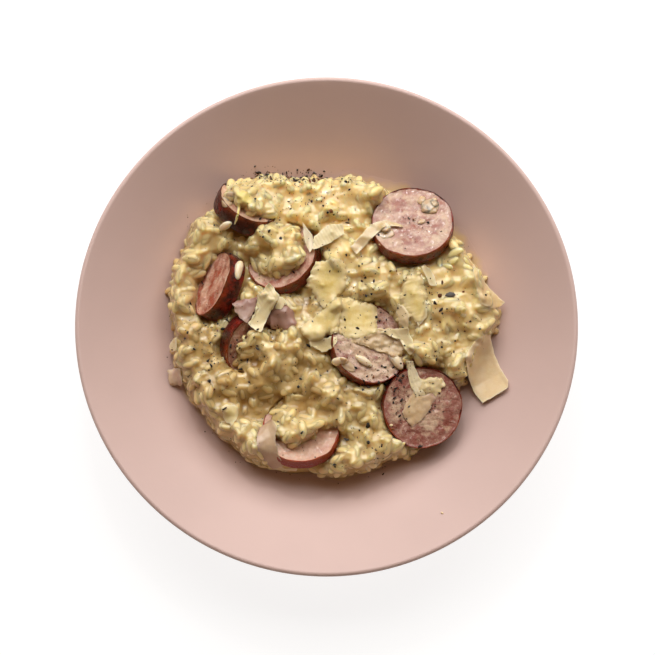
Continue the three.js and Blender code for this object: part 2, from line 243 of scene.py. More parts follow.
# Rice and cream lying on the slices' faces: x, y, half width, half depth, turn in degrees, and
# the thickness of the layer.
COVERS = np.array([
    [-15, -45.5, 11.5, 12.5, 0, 1.5], [-35.5, 63.5, 16.5, 9.6, -30, 1.1],
    [0.5, -40, 14.5, 8.6, -15, 0.9], [-24, 37, 14.5, 13.5, 45, 1.5], [-30, -13, 14, 10.8, 25, 1.3],
])
# Lumps of melted cheese and rice that stand above the rest: x, y, half width, half depth, turn in
# degrees, and height.
CHUNKS = np.array([
    [-29.5, -11.5, 5.2, 3.6, 20, 1.6], [-26, -13.5, 2.6, 3, 0, 1.4], [-46.5, -41.5, 5, 4.5, -30, 1.4],
    [46.5, -12.5, 4.2, 3.2, -50, 1.5], [-15, -53, 8.5, 5.5, 10, 0.9], [2.5, -35, 6, 4.5, 25, 1.3],
    [12, -36.5, 5.5, 4, -20, 1.2], [-24, 56.5, 8, 4.5, 15, 1.2], [-5, 60, 6, 5, 0, 1.0],
    [8, 63, 5, 6, 0, 1.0], [65, 2, 5.5, 4.5, 30, 1.2], [-22, -20, 5.5, 4, -35, 1.0],
    [28, -50, 6, 4.5, 40, 1.2], [62, -16, 5, 4, 0, 1.0], [-2, 44, 5, 4, 30, 1.0],
    [24, 28, 6, 4, 60, 0.8],
])
# Smooth dollops on the slices' faces: x, y, half width, half depth, turn in degrees, and height.
DOLLOPS = np.array([
    [50.3, 58.6, 4.6, 4.2, 0, 1.7], [48.4, 57.2, 2.6, 2.4, 0, 1.9], [52, 59.6, 2.4, 2.6, 30, 2.1],
    [46.2, 61.8, 2.6, 1.8, 60, 1.2], [52.4, 61.8, 1.6, 1.4, 0, 1.4], [46, 50.5, 1.9, 1.2, 20, 0.6],
    [28.5, 44, 4.4, 2.4, 10, 0.6], [32, -13, 3.4, 2.8, 0, 1.4], [10, -20, 4.6, 2.2, -38, 0.7],
    [-47.5, 60, 4.2, 2.8, 60, 0.5], [41.5, -39, 5, 3.4, 50, 0.35],
])
# Cream smeared on the faces: x, y, half width, half depth, turn in degrees.
SMEARS = np.array([
    [49.5, 54.5, 7.5, 3, 8], [57, 48, 2, 8, -4], [52, 41, 6.5, 4, 30], [33, 37.5, 6, 3.6, -40],
    [27, 46, 3, 8, -10], [30.5, 59, 2.2, 6, -12], [42, 62, 5, 2.4, 0], [50, -32, 7, 5, 20],
    [42, -37, 7, 9, -20], [46, -46, 9, 5, 0], [32, -38, 3, 9, 10], [52, -46, 4, 5, 30],
    [22, -9, 12, 7, -12], [24, -19, 9, 4, 0], [32, -12, 7, 7, 0], [11, -9, 5, 5, 0],
    [20, -24, 8, 2.5, 8], [-12, -56, 12, 3, 0], [-30, 24, 8, 5, 30],
])
# Single grains that lie clear of the heap: x, y, turn in degrees, length over the mean.
LONE_GRAINS = np.array([
    [-42.2, 26.4, 80, 1.35], [17.8, -17.6, -32, 1.3], [33.5, -17.5, -50, 1.0], [6.0, -18.0, 10, 1.0],
    [-48.6, 47.8, 25, 1.15], [28.5, 47, 30, 0.7],
])

YELLOW, PALE, BEIGE = srgb(224, 198, 118), srgb(222, 204, 156), srgb(226, 200, 158)
CREAMY, MEAT = srgb(216, 190, 134), srgb(160, 120, 106)
FLAT = (0, 0, 0, 0)


def leaf(sides, lift=FLAT, curl=0.2, stiff=1, torn=0.2, tint=PALE, veil=0, melt=FLAT, **relief):
    """A sheet of cheese: sides are the four sides of its outline seen from above, each from its
    corner up to the next one. lift raises the corners, curl the edges; stiff sheets bridge the
    hollows below them, limp ones follow them; torn is how ragged the edges are; veil is how much
    meat shows through; melt is how far each side sinks into the food; relief holds the heights of
    roughness, ribs, ridges and a crease where they differ from the usual."""
    look = dict(lift=lift, curl=curl, stiff=stiff, torn=torn, tint=tint, veil=veil, melt=melt)
    return {"sides": sides, "rough": 0.03, "ribs": 0, "ridges": 0, "crease": 0, **look, **relief}


# Cheese shavings as in the part.
SHAVINGS = [
    leaf([[(71.5, -7), (75, -4.5)], [(79, -3), (81.5, -12.5), (84.5, -20)], [(87.5, -26), (87.5, -29.5),
         (82, -33)], [(75.5, -36.5), (71.5, -31), (68.5, -23), (66.5, -15)]], lift=(0.3, 0.6, 0, 0),
         curl=0.1, torn=0.12, tint=BEIGE, crease=0.3, melt=(0.8, 0, 0, 0)),
    leaf([[(37, 47.5), (33.5, 48), (28, 47.5), (23, 43), (18, 37.5)], [(14.5, 34)], [(11.5, 37.5),
         (15, 41.5), (19.5, 47), (23.5, 50), (28.5, 51), (33.5, 50)], [(36.5, 48.5)]],
         lift=(0.8, 0.3, 0.3, 0.8), curl=0.9, torn=0.15, tint=srgb(204, 176, 128)),
    leaf([[(-11.5, 49.5)], [(-7, 43.5), (-5.5, 38.5)], [(-8, 34.5)], [(-10, 39), (-11, 44)]],
         lift=(1, 0.4, 0.6, 2.2), curl=0.3, torn=0.1, tint=srgb(222, 208, 180), veil=0.1),
    leaf([[(-6, 42.5), (-3, 45), (1, 48.5)], [(8, 49)], [(8.5, 44), (2, 39.5)], [(-4.5, 36.5), (-7, 36)]],
         lift=(0.5, 1, 0.4, 0.6), curl=0.3, torn=0.15, ridges=1),
    leaf([[(-33, 14)], [(-27.5, 19.5), (-24.5, 16.5)], [(-22.5, 13), (-25.5, 7.5), (-28.5, 2.5)],
         [(-31.5, -4), (-34.5, -2.5), (-38, 0), (-34, 6)]], lift=(0.6, 4, 3.5, 1), curl=0.9, torn=0.4,
         ridges=0.6),
    leaf([[(-5.2, 30.6), (1.5, 30.9)], [(8.2, 31.3), (9.9, 27), (10.1, 18.2), (6, 14)], [(1, 8.5),
         (-1.4, 7.4), (-3.5, 9.9), (-6.2, 15.4)], [(-10.3, 18.9), (-7.4, 25)]], lift=(0.3, 0, 0.6, 1.6),
         curl=0.3, stiff=0.9, torn=0.45, tint=YELLOW, melt=(0.4, 1, 0.4, 0.3)),
    leaf([[(-5.2, 3.7), (-0.1, 7.5), (3.2, 11.2)], [(7.5, 14), (7.6, 6.6), (6.8, 0)], [(5.4, -4.6),
         (1.3, -4.9), (-6.2, -8.7), (-9.6, -6.7)], [(-13.4, -1.9), (-9.4, 1)]], lift=(0.4, 0, 1, 1),
         curl=0.4, stiff=0.9, torn=0.45, tint=YELLOW, melt=(0.9, 0.9, 0.4, 0.4)),
    leaf([[(7.5, 14), (12.5, 13), (18.4, 11.3)], [(23.9, 10.5), (24.6, 6.4), (24.4, 0)], [(24.2, -3.9),
         (17, -6.7), (9.5, -7.3)], [(5.6, -4.2), (6.2, 4), (6.6, 10)]], lift=(0, 0.3, 0.3, 0), stiff=0.9,
         torn=0.45, tint=YELLOW, melt=(0.9, 0.7, 0.7, 0.9)),
    leaf([[(37, 21.5), (40.5, 24)], [(45, 26.5), (46.5, 20.5), (48.5, 15)], [(48, 8), (46, 0.5)],
         [(41.5, -1), (38, 6.5), (35, 11), (35.5, 16)]], lift=(0.4, 1, 0.2, 0.2), stiff=0.8, torn=0.5,
         tint=YELLOW, melt=(0.6, 0.8, 0.8, 0.8)),
    leaf([[(25.5, -3.5), (30, -2), (35, -2)], [(39, -2), (41, -8)], [(42, -13), (40, -15)], [(37.5, -12),
         (35.5, -7), (31, -5.5)]], lift=(0.4, 2.6, 0.8, 0.6), curl=0.5, torn=0.25),
    leaf([[(44, -26), (49.5, -25)], [(55, -24.5), (57.5, -28)], [(53, -34), (48.5, -33)], [(43, -32)]],
         lift=(0.4, 0.6, 0, 0), torn=0.6, tint=srgb(222, 202, 154), veil=0.15, rough=0.3,
         melt=(0.8, 0.4, 1, 1)),
    leaf([[(-32.5, -49.5), (-30, -47)], [(-26.5, -45), (-23.5, -49), (-24.5, -54)], [(-24, -59),
         (-22.5, -63.5), (-20.5, -67.5)], [(-26, -68.5), (-30.5, -64.5), (-33, -60), (-33.5, -54)]],
         lift=(0, 0.4, 1.6, 0.4), curl=0.7, tint=srgb(216, 190, 150), veil=0.4, melt=(0.9, 0, 0, 0.5)),
    leaf([[(-44, 62), (-43, 65)], [(-40, 65.5), (-36, 62)], [(-32.5, 56), (-37.5, 56.5)], [(-41.5, 57),
         (-43.5, 58.5)]], lift=(0.3, 0.4, 0.3, 0.3), stiff=0.7, torn=0.3, tint=srgb(230, 208, 116),
         melt=(0.5, 1, 0.6, 0)),
    leaf([[(71.5, 31), (75, 24.5), (80, 18)], [(86.5, 12)], [(84, 10), (80, 8.5)], [(74, 10), (72, 18),
         (70.5, 25)]], lift=(0, 0.8, 0.5, 0), tint=srgb(214, 184, 130), veil=0.1),
]
# Thin scraps of cheese between the shavings, laid before them.
SCRAPS = [
    leaf([[(-45.5, 10.5), (-41.5, 12.5), (-36.5, 12.5)], [(-33.5, 13.5), (-34, 7.5)], [(-38, 0.5),
         (-41.5, 3)], [(-43.5, 6)]], lift=(0.8, 0.3, 0.3, 0.6), curl=0.3, torn=0.4,
         tint=srgb(176, 150, 128), veil=0.8, melt=(0.6, 0, 0, 0)),
    leaf([[(-29.5, 8), (-25, 11.5), (-20, 10)], [(-16, 8.5), (-14, 2)], [(-15, -1.5), (-21, -2.5),
         (-27, -1)], [(-29.5, 1.5), (-30, 5)]], curl=0.1, stiff=0.8, torn=0.5, tint=srgb(170, 136, 118),
         veil=0.7, melt=(1, 1, 1, 0.6)),
    leaf([[(9.6, -5), (16, -5), (25, -1.5)], [(31, -1.5), (38, -8)], [(38.5, -13.5), (33, -16.5),
         (27, -13.5)], [(19.5, -10.5), (13, -9.5)]], curl=0.1, stiff=0.8, torn=0.5,
         tint=srgb(184, 154, 116), veil=0.1, rough=0.25, melt=(0.5, 0.6, 0.8, 0.6)),
    leaf([[(-23, 13.5), (-20, 12.5)], [(-19, 10)], [(-22, 7)], [(-24.5, 7.5)]], lift=(0.3, 0.6, 0.6, 0.2),
         curl=0.3, torn=0.3, veil=0.1),
    leaf([[(-8.5, -7.5), (-2, -7)], [(5, -6), (5, -9)], [(2, -12), (-2, -13.5)], [(-5, -10.5),
         (-7.5, -11)]], lift=(0, 0, 0.8, 0.6), torn=0.5, tint=srgb(206, 186, 136), veil=0.1),
    leaf([[(45.5, 27.5), (47.5, 23.5), (49.5, 18.5)], [(53, 18.5)], [(52, 23), (50, 26.5)], [(47, 28.5)]],
         lift=(1.6, 0.3, 0.3, 1.8), curl=0.3, torn=0.1),
    leaf([[(-76.5, -9), (-75, -6)], [(-72.5, -5.5)], [(-72.5, -11.5)], [(-75, -12)]],
         lift=(0.6, 0.2, 0, 0.3)),
    leaf([[(-77.5, -20.5), (-75, -19)], [(-71, -20), (-70, -25)], [(-70.5, -28)], [(-76, -27.5)]],
         curl=0.1, torn=0.5, tint=srgb(200, 168, 146), melt=(0.3, 0, 0.4, 0.3)),
    leaf([[(41, -29), (47, -31)], [(53, -34), (50, -39.5), (46.5, -45)], [(41, -49), (36, -42.5)],
         [(38, -37), (40.5, -33)]], curl=0, torn=0.3, tint=srgb(226, 198, 148), veil=0.35, rough=0.1,
         melt=(1, 0.2, 0.3, 0.9)),
    leaf([[(38, -17.5)], [(41.5, -17.5), (44, -24), (47, -28)], [(49.5, -33)], [(44, -36), (40, -29)]],
         lift=(0.3, 0.3, 0, 0), curl=0, tint=srgb(228, 212, 176), ribs=0.16, rough=0.1,
         melt=(0, 0.2, 1, 0.4)),
    leaf([[(-50, -39.5), (-46, -38)], [(-42, -39.5), (-42.5, -45.5)], [(-45.5, -48.5)], [(-49.5, -44.5)]],
         lift=(0.4, 0.2, 0.4, 0.2), curl=0.3, stiff=0.6, torn=0.5, tint=YELLOW),
    leaf([[(-24, -66.5), (-20, -68.5)], [(-14, -68.5)], [(-14.5, -69.5)], [(-20, -69.5), (-26, -68.5)]],
         lift=(0.2, 0.2, 0.2, 0.2), curl=0.1, torn=0.1, veil=0.1),
    leaf([[(34, 10), (37.5, 8.5)], [(39.5, 3.5), (39, -2.5)], [(35, 0.5)], [(33.5, 5.5)]],
         lift=(0.2, 0.2, 0.2, 0.2), curl=0.1, torn=0.3, tint=srgb(216, 192, 150), veil=0.15),
    leaf([[(42, 12.5), (48.5, 11.5)], [(48, 3.5)], [(44, -1)], [(41, 3.5)]], lift=(0, 0, 0.2, 0.2),
         curl=0.1, torn=0.3),
    leaf([[(-42.5, 58)], [(-41, 58)], [(-42, 52), (-43.5, 48)], [(-44.5, 48), (-43, 53)]],
         lift=(0.2, 0.2, 0.2, 0.2), curl=0.1, stiff=0.6, torn=0.1, tint=srgb(230, 208, 116)),
]
# Drifts of pepper: x, y, spread along x and y, how many coarse flakes.
PEPPER_DRIFTS = np.array([
    [-15, 73.5, 17, 3, 80], [-20, 77, 13, 2, 26], [-30, 55, 14, 9, 16], [-5, 58, 16, 8, 18],
    [-58, -12, 8, 20, 46], [-44, -14, 10, 8, 34], [-38, -5, 10, 9, 22], [0, 15, 16, 10, 26],
    [22, 10, 14, 10, 30], [50, 5, 10, 9, 24], [25, -27, 9, 4, 34], [36, -34, 5, 11, 24],
    [0, -30, 26, 12, 26], [0, -60, 24, 7, 16], [62, -12, 9, 12, 14], [0, 0, 48, 48, 70],
])
# Flakes that stand out: x, y, size across.
PEPPER_FLAKES = np.array([
    [54.5, 14, 2.6], [52, 10.5, 2.4], [59.5, 14.5, 2.8], [55, 7, 2.4], [-12, 74.5, 1.8], [-28.5, 75, 1.8],
    [-15, 71, 1.9], [-2, 73, 1.8], [2.5, 67.5, 1.4], [0.5, 54.5, 1.6], [3.5, 54, 1.3], [-1.5, 58, 1.4],
    [-23.5, 0.5, 1.8], [0, 3.5, 1.6], [-6.5, 1, 1.4], [7.5, 25, 1.3], [42, 51.5, 1.5], [49, 50, 1.3],
    [33.5, 26, 1.2], [-59, 54, 1.7], [-22, 41.5, 1.6], [-36, 67, 1.4], [9.5, 70, 1.5], [19, 14, 1.6],
    [21.5, 14.5, 1.5], [24, 4, 1.6], [24.5, 9, 1.4], [29.5, -8, 1.6], [14, -21, 1.6], [25, -28, 1.8],
    [20, -30, 2.0], [28, -28, 1.6], [36, -36, 1.6], [35, -43.5, 1.7], [32, -37, 1.3], [20, -48, 2.2],
    [20, -56.5, 1.8], [-56, -27, 2.0], [-57, -17, 1.5], [-46, -10, 1.5], [45, -58, 1.5], [4, -67, 1.5],
])
# Crumbs of fat and rice: x, y, size across.
CRUMBS = np.array([
    [-46.8, 3.6, 1.9], [26, 38.5, 1.5], [31, -48, 1.7], [55, -90, 1.6], [-16.5, -104, 1.3],
    [12.4, -52, 1.2],
])
# How far the thin film of cream runs out past the heap, one value each 15 degrees from +X.
FILM_REACH = np.array([
    1, 2.5, 5, 3.5, 6, 5, 2, 1, 0.5, 0.5, 1, 0.5, 1, 2, 2.5, 1.5, 1, 1, 2, 1, 0.5, 0.5, 1, 1,
])

FIELD_STEP = 0.4
FIELD_HALF = 96.0
NOWHERE = 1e3  # stands for a height where there is nothing


# ---------------------------------------------------------------- height fields


axis = np.arange(-FIELD_HALF, FIELD_HALF + FIELD_STEP / 2, FIELD_STEP)
FIELD_X, FIELD_Y = np.meshgrid(axis, axis, indexing="ij")


def blur(field, sigma):
    """The field under a Gaussian of sigma millimetres, by way of its Fourier transform."""
    rows, cols = field.shape
    f = np.fft.fftfreq(rows, FIELD_STEP)[:, None] ** 2 + np.fft.rfftfreq(cols, FIELD_STEP)[None] ** 2
    return np.fft.irfft2(np.fft.rfft2(field) * np.exp(-2 * (math.pi * sigma) ** 2 * f), s=field.shape)


def sample(field, x, y):
    """The field's value at any points, linear between its grid points."""
    i = np.clip((np.asarray(x) + FIELD_HALF) / FIELD_STEP, 0, field.shape[0] - 1.001)
    j = np.clip((np.asarray(y) + FIELD_HALF) / FIELD_STEP, 0, field.shape[1] - 1.001)
    i0, j0 = i.astype(int), j.astype(int)
    s, t = i - i0, j - j0
    near = field[i0, j0] * (1 - t) + field[i0, j0 + 1] * t
    far = field[i0 + 1, j0] * (1 - t) + field[i0 + 1, j0 + 1] * t
    return near * (1 - s) + far * s


def smooth_max(a, b, width):
    """The larger of two heights, rounded where they meet over about the width."""
    h = np.clip(0.5 + 0.5 * (a - b) / width, 0, 1)
    return b + (a - b) * h + width * h * (1 - h)


def highest_within(field, radius):
    """The field's highest value in a square round each point."""
    steps = int(radius / FIELD_STEP)
    for way in (0, 1):
        spread = field.copy()
        for k in range(1, steps + 1):
            np.maximum(spread, np.roll(field, k, way), out=spread)
            np.maximum(spread, np.roll(field, -k, way), out=spread)
        field = spread
    return field


def bridged(field, radius):
    """The field with its narrow gaps spanned: the highest values nearby, then the lowest of those,
    smoothed."""
    return blur(-highest_within(-highest_within(field, radius), radius), radius * 0.35)


def waves(x, y, rng, length, octaves=3):
    """Smooth unevenness from -1 to 1: sums of sine waves in random directions, each octave half as
    long and half as high."""
    total = np.zeros(np.broadcast(x, y).shape)
    weight = 0.0
    for octave in range(octaves):
        for _ in range(4):
            turn, phase, stretch = rng.uniform(0, math.tau), rng.uniform(0, math.tau), rng.uniform(0.8, 1.3)
            k = math.tau / (length * stretch / 2**octave)
            total += np.sin(k * (x * math.cos(turn) + y * math.sin(turn)) + phase) / 2**octave
            weight += 0.5 / 2**octave
    return total / weight


def ring_waves(angle, radius, rng, length, octaves=3):
    """Waves that close on themselves, because they are read round a circle of the radius."""
    return waves(np.cos(angle) * radius, np.sin(angle) * radius, rng, length, octaves)


def patches(table, x, y):
    """Sum of soft patches, each row: middle x and y, half width and half depth, and weight."""
    total = 0
    for cx, cy, half_w, half_d, weight in table:
        total = total + weight * np.exp(-(((x - cx) / half_w) ** 2) - ((y - cy) / half_d) ** 2)
    return total


def grit(x, y, rng, sigma):
    """Uneven blobs about three sigma wide, with a spread of 1: blurred random numbers, read from a
    random part of the field."""
    field = blur(rng.normal(0, 1, FIELD_X.shape), sigma)
    return sample(field / field.std(), x + rng.uniform(-30, 30), y + rng.uniform(-30, 30))


def wall_run(radius, height):
    """The plate's inner wall in section: the middle of the lip's rounding, the radius where the
    straight wall starts and the one where the floor's arc starts."""
    lip = np.array([radius - LIP_RADIUS, height - LIP_RADIUS])
    top = lip + LIP_RADIUS * np.array([-math.sin(WALL_SLOPE), math.cos(WALL_SLOPE)])
    rise = BEND_RADIUS * (1 - math.cos(WALL_SLOPE))
    foot = top[0] - (top[1] - FLOOR_TOP - rise) / math.tan(WALL_SLOPE)
    return lip, foot, foot - BEND_RADIUS * math.sin(WALL_SLOPE)


def plate_top(radius):
    """Height of the plate's inner surface: flat floor, arc, then straight wall."""
    _, foot, floor = wall_run(PLATE_RADIUS, PLATE_TOP / MM)
    along = np.clip(radius - floor, 0, foot - floor)
    bend = FLOOR_TOP + BEND_RADIUS - np.sqrt(BEND_RADIUS**2 - along**2)
    return bend + np.clip(radius - foot, 0, None) * math.tan(WALL_SLOPE)


def heap_reach(angle):
    """The outline's reach in a direction: a smooth curve through HEAP_REACH with grain-sized bumps."""
    at = (angle / math.tau % 1) * len(HEAP_REACH)
    i = np.floor(at).astype(int)
    t = at - i
    a, b, c, d = (HEAP_REACH[(i + k) % len(HEAP_REACH)] for k in (-1, 0, 1, 2))
    smooth = b + 0.5 * t * (c - a + t * (2 * a - 5 * b + 4 * c - d + t * (3 * (b - c) + d - a)))
    return smooth + 0.8 * np.sin(13 * angle + 1) + 0.6 * np.sin(23 * angle)


def heap_share(x, y):
    """Distance from the heap's middle as a share of the reach in that direction."""
    dx, dy = x - HEAP_MIDDLE[0], y - HEAP_MIDDLE[1]
    return np.hypot(dx, dy) / heap_reach(np.arctan2(dy, dx))


def heap_top(x, y):
    """The part's heap: a dome with waves and hollows that rounds off at its edge."""
    share = heap_share(x, y)
    z = HEAP_CROWN + (HEAP_SHOULDER - HEAP_CROWN) * share**2.2
    z = z + 0.9 * np.sin(x / 6.1 + y / 9.7) * np.cos(y / 7.3 - x / 15)
    z = z + 0.7 * np.sin(y / 4.9 - x / 7.7 + 2) + 0.6 * np.cos(x / 4.1 + 0.4 * np.sin(y / 8))
    for hx, hy, radius, depth in HOLLOWS:
        z = z - depth * np.exp(-((x - hx) ** 2 + (y - hy) ** 2) / radius**2)
    foot = plate_top(np.hypot(x, y)) + HEAP_EDGE_THICKNESS
    over = np.clip((share - HEAP_EDGE_START) / (1 - HEAP_EDGE_START), 0, 1)
    return foot + (z - foot) * np.sqrt(1 - over**2)


def slice_axes(cut):
    """A slice's unit vectors: across in the direction of the lean, along beside it, and the face's
    normal."""
    lean, toward = math.radians(cut["lean"]), math.radians(cut["toward"])
    side = np.array([-math.sin(toward), math.cos(toward), 0])
    level = math.cos(lean)
    across = np.array([level * math.cos(toward), level * math.sin(toward), -math.sin(lean)])
    return across, side, np.cross(across, side)


def slice_column(cut, x, y, grow=0.0):
    """Lowest and highest height of a tilted slice over points, and where it is: the vertical line
    through each point is cut with the elliptic cylinder and with its two faces."""
    across, side, normal = slice_axes(cut)
    dx, dy = x - cut["x"], y - cut["y"]
    v = dx * side[0] + dy * side[1]
    half = (cut["across"] + grow) * np.sqrt(np.clip(1 - (v / (cut["along"] + grow)) ** 2, 0, 1))
    u0 = dx * across[0] + dy * across[1]
    w0 = dx * normal[0] + dy * normal[1]
    ends_u = np.stack([(half - u0) / across[2], (-half - u0) / across[2]])
    ends_w = np.stack([(0 - w0) / normal[2], (-cut["thick"] - w0) / normal[2]])
    low = np.maximum(ends_u.min(0), ends_w.min(0))
    high = np.minimum(ends_u.max(0), ends_w.max(0))
    there = (high > low) & (np.abs(v) < cut["along"] + grow)
    return cut["z"] + low, cut["z"] + high, there


def oval_place(row, x, y):
    """Points in a turned oval's own axes, in half widths and half depths. The row starts with the
    oval's middle x and y, half width, half depth and turn in degrees."""
    cx, cy, half_w, half_d, turn = row[:5]
    c, s = math.cos(math.radians(turn)), math.sin(math.radians(turn))
    return ((x - cx) * c + (y - cy) * s) / half_w, ((y - cy) * c - (x - cx) * s) / half_d


def in_cover(x, y):
    """How far inside a covering layer a point is, 1 in its middle and 0 at its edge, and its thickness."""
    inside, thick = np.zeros(np.shape(x)), np.zeros(np.shape(x))
    for row in COVERS:
        u, v = oval_place(row, x, y)
        share = np.clip(1 - u * u - v * v, 0, 1)
        thick = np.where(share > inside, row[5], thick)
        inside = np.maximum(inside, share)
    return inside, thick


# ---------------------------------------------------------------- meshes and materials


def grid_faces(rows, cols, wrap=False):
    """Quads of a grid stored row by row; wrap joins the last column to the first."""
    i, j = np.meshgrid(np.arange(rows - 1), np.arange(cols if wrap else cols - 1), indexing="ij")
    k = (j + 1) % cols
    return np.stack([i * cols + j, i * cols + k, (i + 1) * cols + k, (i + 1) * cols + j], -1).reshape(-1, 4)


def closed_faces(rows, sides):
    """Faces of a skin closed by two poles: rings of points, then the first and the last pole. They
    look outwards where the rings run anticlockwise, seen from the first pole."""
    k = np.arange(sides)
    nxt = (k + 1) % sides
    end, pole = (rows - 1) * sides, np.full(sides, rows * sides)
    caps = [np.stack([pole, k, nxt], -1), np.stack([pole + 1, end + nxt, end + k], -1)]
    return [grid_faces(rows, sides, wrap=True)[:, ::-1], np.concatenate(caps)]


def repeated(faces, count, each):
    """A template's faces once for every copy, where a copy has each points."""
    shift = (np.arange(count) * each)[:, None, None]
    return (faces[None] + shift).reshape(-1, faces.shape[1])


def new_piece(name, points, faces, material, replaces=(), attributes=None):
    """A smooth mesh from points in millimetres and a list of face arrays, each of one number of
    sides, riding on the plate's body."""
    mesh = bpy.data.meshes.new(name)
    faces = [np.asarray(f, np.int32) for f in faces]
    corners = np.concatenate([f.ravel() for f in faces])
    sides = np.concatenate([np.full(len(f), f.shape[1]) for f in faces])
    mesh.vertices.add(len(points))
    mesh.vertices.foreach_set("co", (np.asarray(points, np.float32) * MM).ravel())
    mesh.loops.add(len(corners))
    mesh.loops.foreach_set("vertex_index", corners)
    mesh.polygons.add(len(sides))
    mesh.polygons.foreach_set("loop_start", np.concatenate([[0], np.cumsum(sides)[:-1]]).astype(np.int32))
    mesh.update(calc_edges=True)
    for key, values in (attributes or {}).items():
        values = np.asarray(values, np.float32)
        if values.ndim == 1:
            mesh.attributes.new(key, "FLOAT", "POINT").data.foreach_set("value", values)
        else:
            opaque = np.column_stack([values, np.ones(len(values))]).ravel()
            mesh.attributes.new(key, "FLOAT_COLOR", "POINT").data.foreach_set("color", opaque)
    mesh.polygons.foreach_set("use_smooth", np.ones(len(sides), bool))
    mesh.materials.append(material)
    piece = bpy.data.objects.new(name, mesh)
    bpy.context.scene.collection.objects.link(piece)
    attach(piece, BODY)
    if replaces:
        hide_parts(*replaces)
    return piece


class Paint:
    """A Principled material and short ways to add nodes to it."""

    def __init__(self, name, **constants):
        self.material = bpy.data.materials.new(name)
        self.material.use_nodes = True
        self.tree = self.material.node_tree
        self.shader = self.tree.nodes["Principled BSDF"]
        for key, value in constants.items():
            socket = self.shader.inputs[key.replace("_", " ")]
            socket.default_value = (*value, 1) if key == "Base_Color" else value
        self.place = self.tree.nodes.new("ShaderNodeTexCoord").outputs["Object"]

    def add(self, kind, inputs=None, **settings):
        """A new node with its inputs joined and its settings made."""
        node = self.tree.nodes.new(kind)
        for key, value in settings.items():
            setattr(node, key, value)
        for key, value in (inputs or {}).items():
            self.join(value, node.inputs[key])
        return node

    def join(self, value, socket):
        """Links an output to a socket, or sets a constant."""
        if isinstance(value, bpy.types.NodeSocket):
            self.tree.links.new(value, socket)
        elif hasattr(value, "__len__") and len(value) == 3 and socket.type == "RGBA":
            socket.default_value = (*value, 1)
        else:
            socket.default_value = value

    def noise(self, scale, detail=3.0, rough=0.5):
        """Fractal noise over the object, scale in features a millimetre."""
        inputs = {"Vector": self.place, "Scale": scale / MM, "Detail": detail, "Roughness": rough}
        return self.add("ShaderNodeTexNoise", inputs).outputs["Fac"]

    def ramp(self, value, low, high, start=0.0, end=1.0):
        """The value's span from low to high stretched over start to end, clamped."""
        inputs = {"Value": value, "From Min": low, "From Max": high, "To Min": start, "To Max": end}
        return self.add("ShaderNodeMapRange", inputs, clamp=True).outputs["Result"]

    def mix(self, share, a, b):
        """The colour a where the share is 0, and b where it is 1."""
        return self.add("ShaderNodeMix", {"Factor": share, 6: a, 7: b}, data_type="RGBA").outputs[2]

    def math(self, operation, a, b):
        return self.add("ShaderNodeMath", {0: a, 1: b}, operation=operation).outputs[0]

    def plus(self, a, b):
        return self.math("ADD", a, b)

    def times(self, a, b):
        return self.math("MULTIPLY", a, b)

    def attribute(self, name, output="Fac"):
        return self.add("ShaderNodeAttribute", attribute_name=name).outputs[output]

    def set(self, **links):
        """Joins values to the shader's inputs."""
        for key, value in links.items():
            self.join(value, self.shader.inputs[key.replace("_", " ")])

    def bump(self, height, distance, strength=1.0):
        """Fine relief of the height times the distance in millimetres."""
        inputs = {"Height": height, "Distance": distance * MM, "Strength": strength}
        self.set(Normal=self.add("ShaderNodeBump", inputs).outputs["Normal"])


def shade(colour, *factors):
    """A colour with its parts multiplied, all by one factor or each by its own."""
    return np.array(colour) * factors


SPICE_DUST, MEAT_CLOUD, MEAT_GRAIN = srgb(120, 84, 34), srgb(158, 84, 78), srgb(128, 62, 56)
# Next lines: pale fat that also paints wet highlights, and a casing colour for a painted edge highlight.
FAT_AND_WET_GLINT, RED_CASING = srgb(240, 218, 202), srgb(158, 42, 8)
BURNT_CASING, CASING_EDGE_HIGHLIGHT = srgb(30, 12, 9), srgb(184, 84, 32)


def glaze_paint(settings):
    """Dusty pink satin glaze with faint clouds and pinholes; bare clay on the foot."""
    paint = Paint("pink glaze", Coat_Weight=0.12, Coat_Roughness=0.3, Specular_IOR_Level=0.4)
    clouds = paint.ramp(paint.noise(0.02, 4), 0.35, 0.65)
    tone = paint.mix(clouds, settings.glaze, shade(settings.glaze, 0.955))
    pinholes = paint.ramp(paint.noise(0.9, 5, 0.7), 0.62, 0.74)
    tone = paint.mix(paint.times(pinholes, 0.12), tone, shade(settings.glaze, 0.7))
    height = paint.add("ShaderNodeSeparateXYZ", {0: paint.place}).outputs["Z"]
    foot = paint.ramp(height, 0.0004, 0.0009, 1, 0)
    paint.set(Base_Color=paint.mix(foot, tone, settings.raw))
    paint.set(Roughness=paint.ramp(foot, 0, 1, 0.58, 0.85))
    paint.bump(paint.noise(0.25, 3), 0.12, 0.35)
    return paint.material


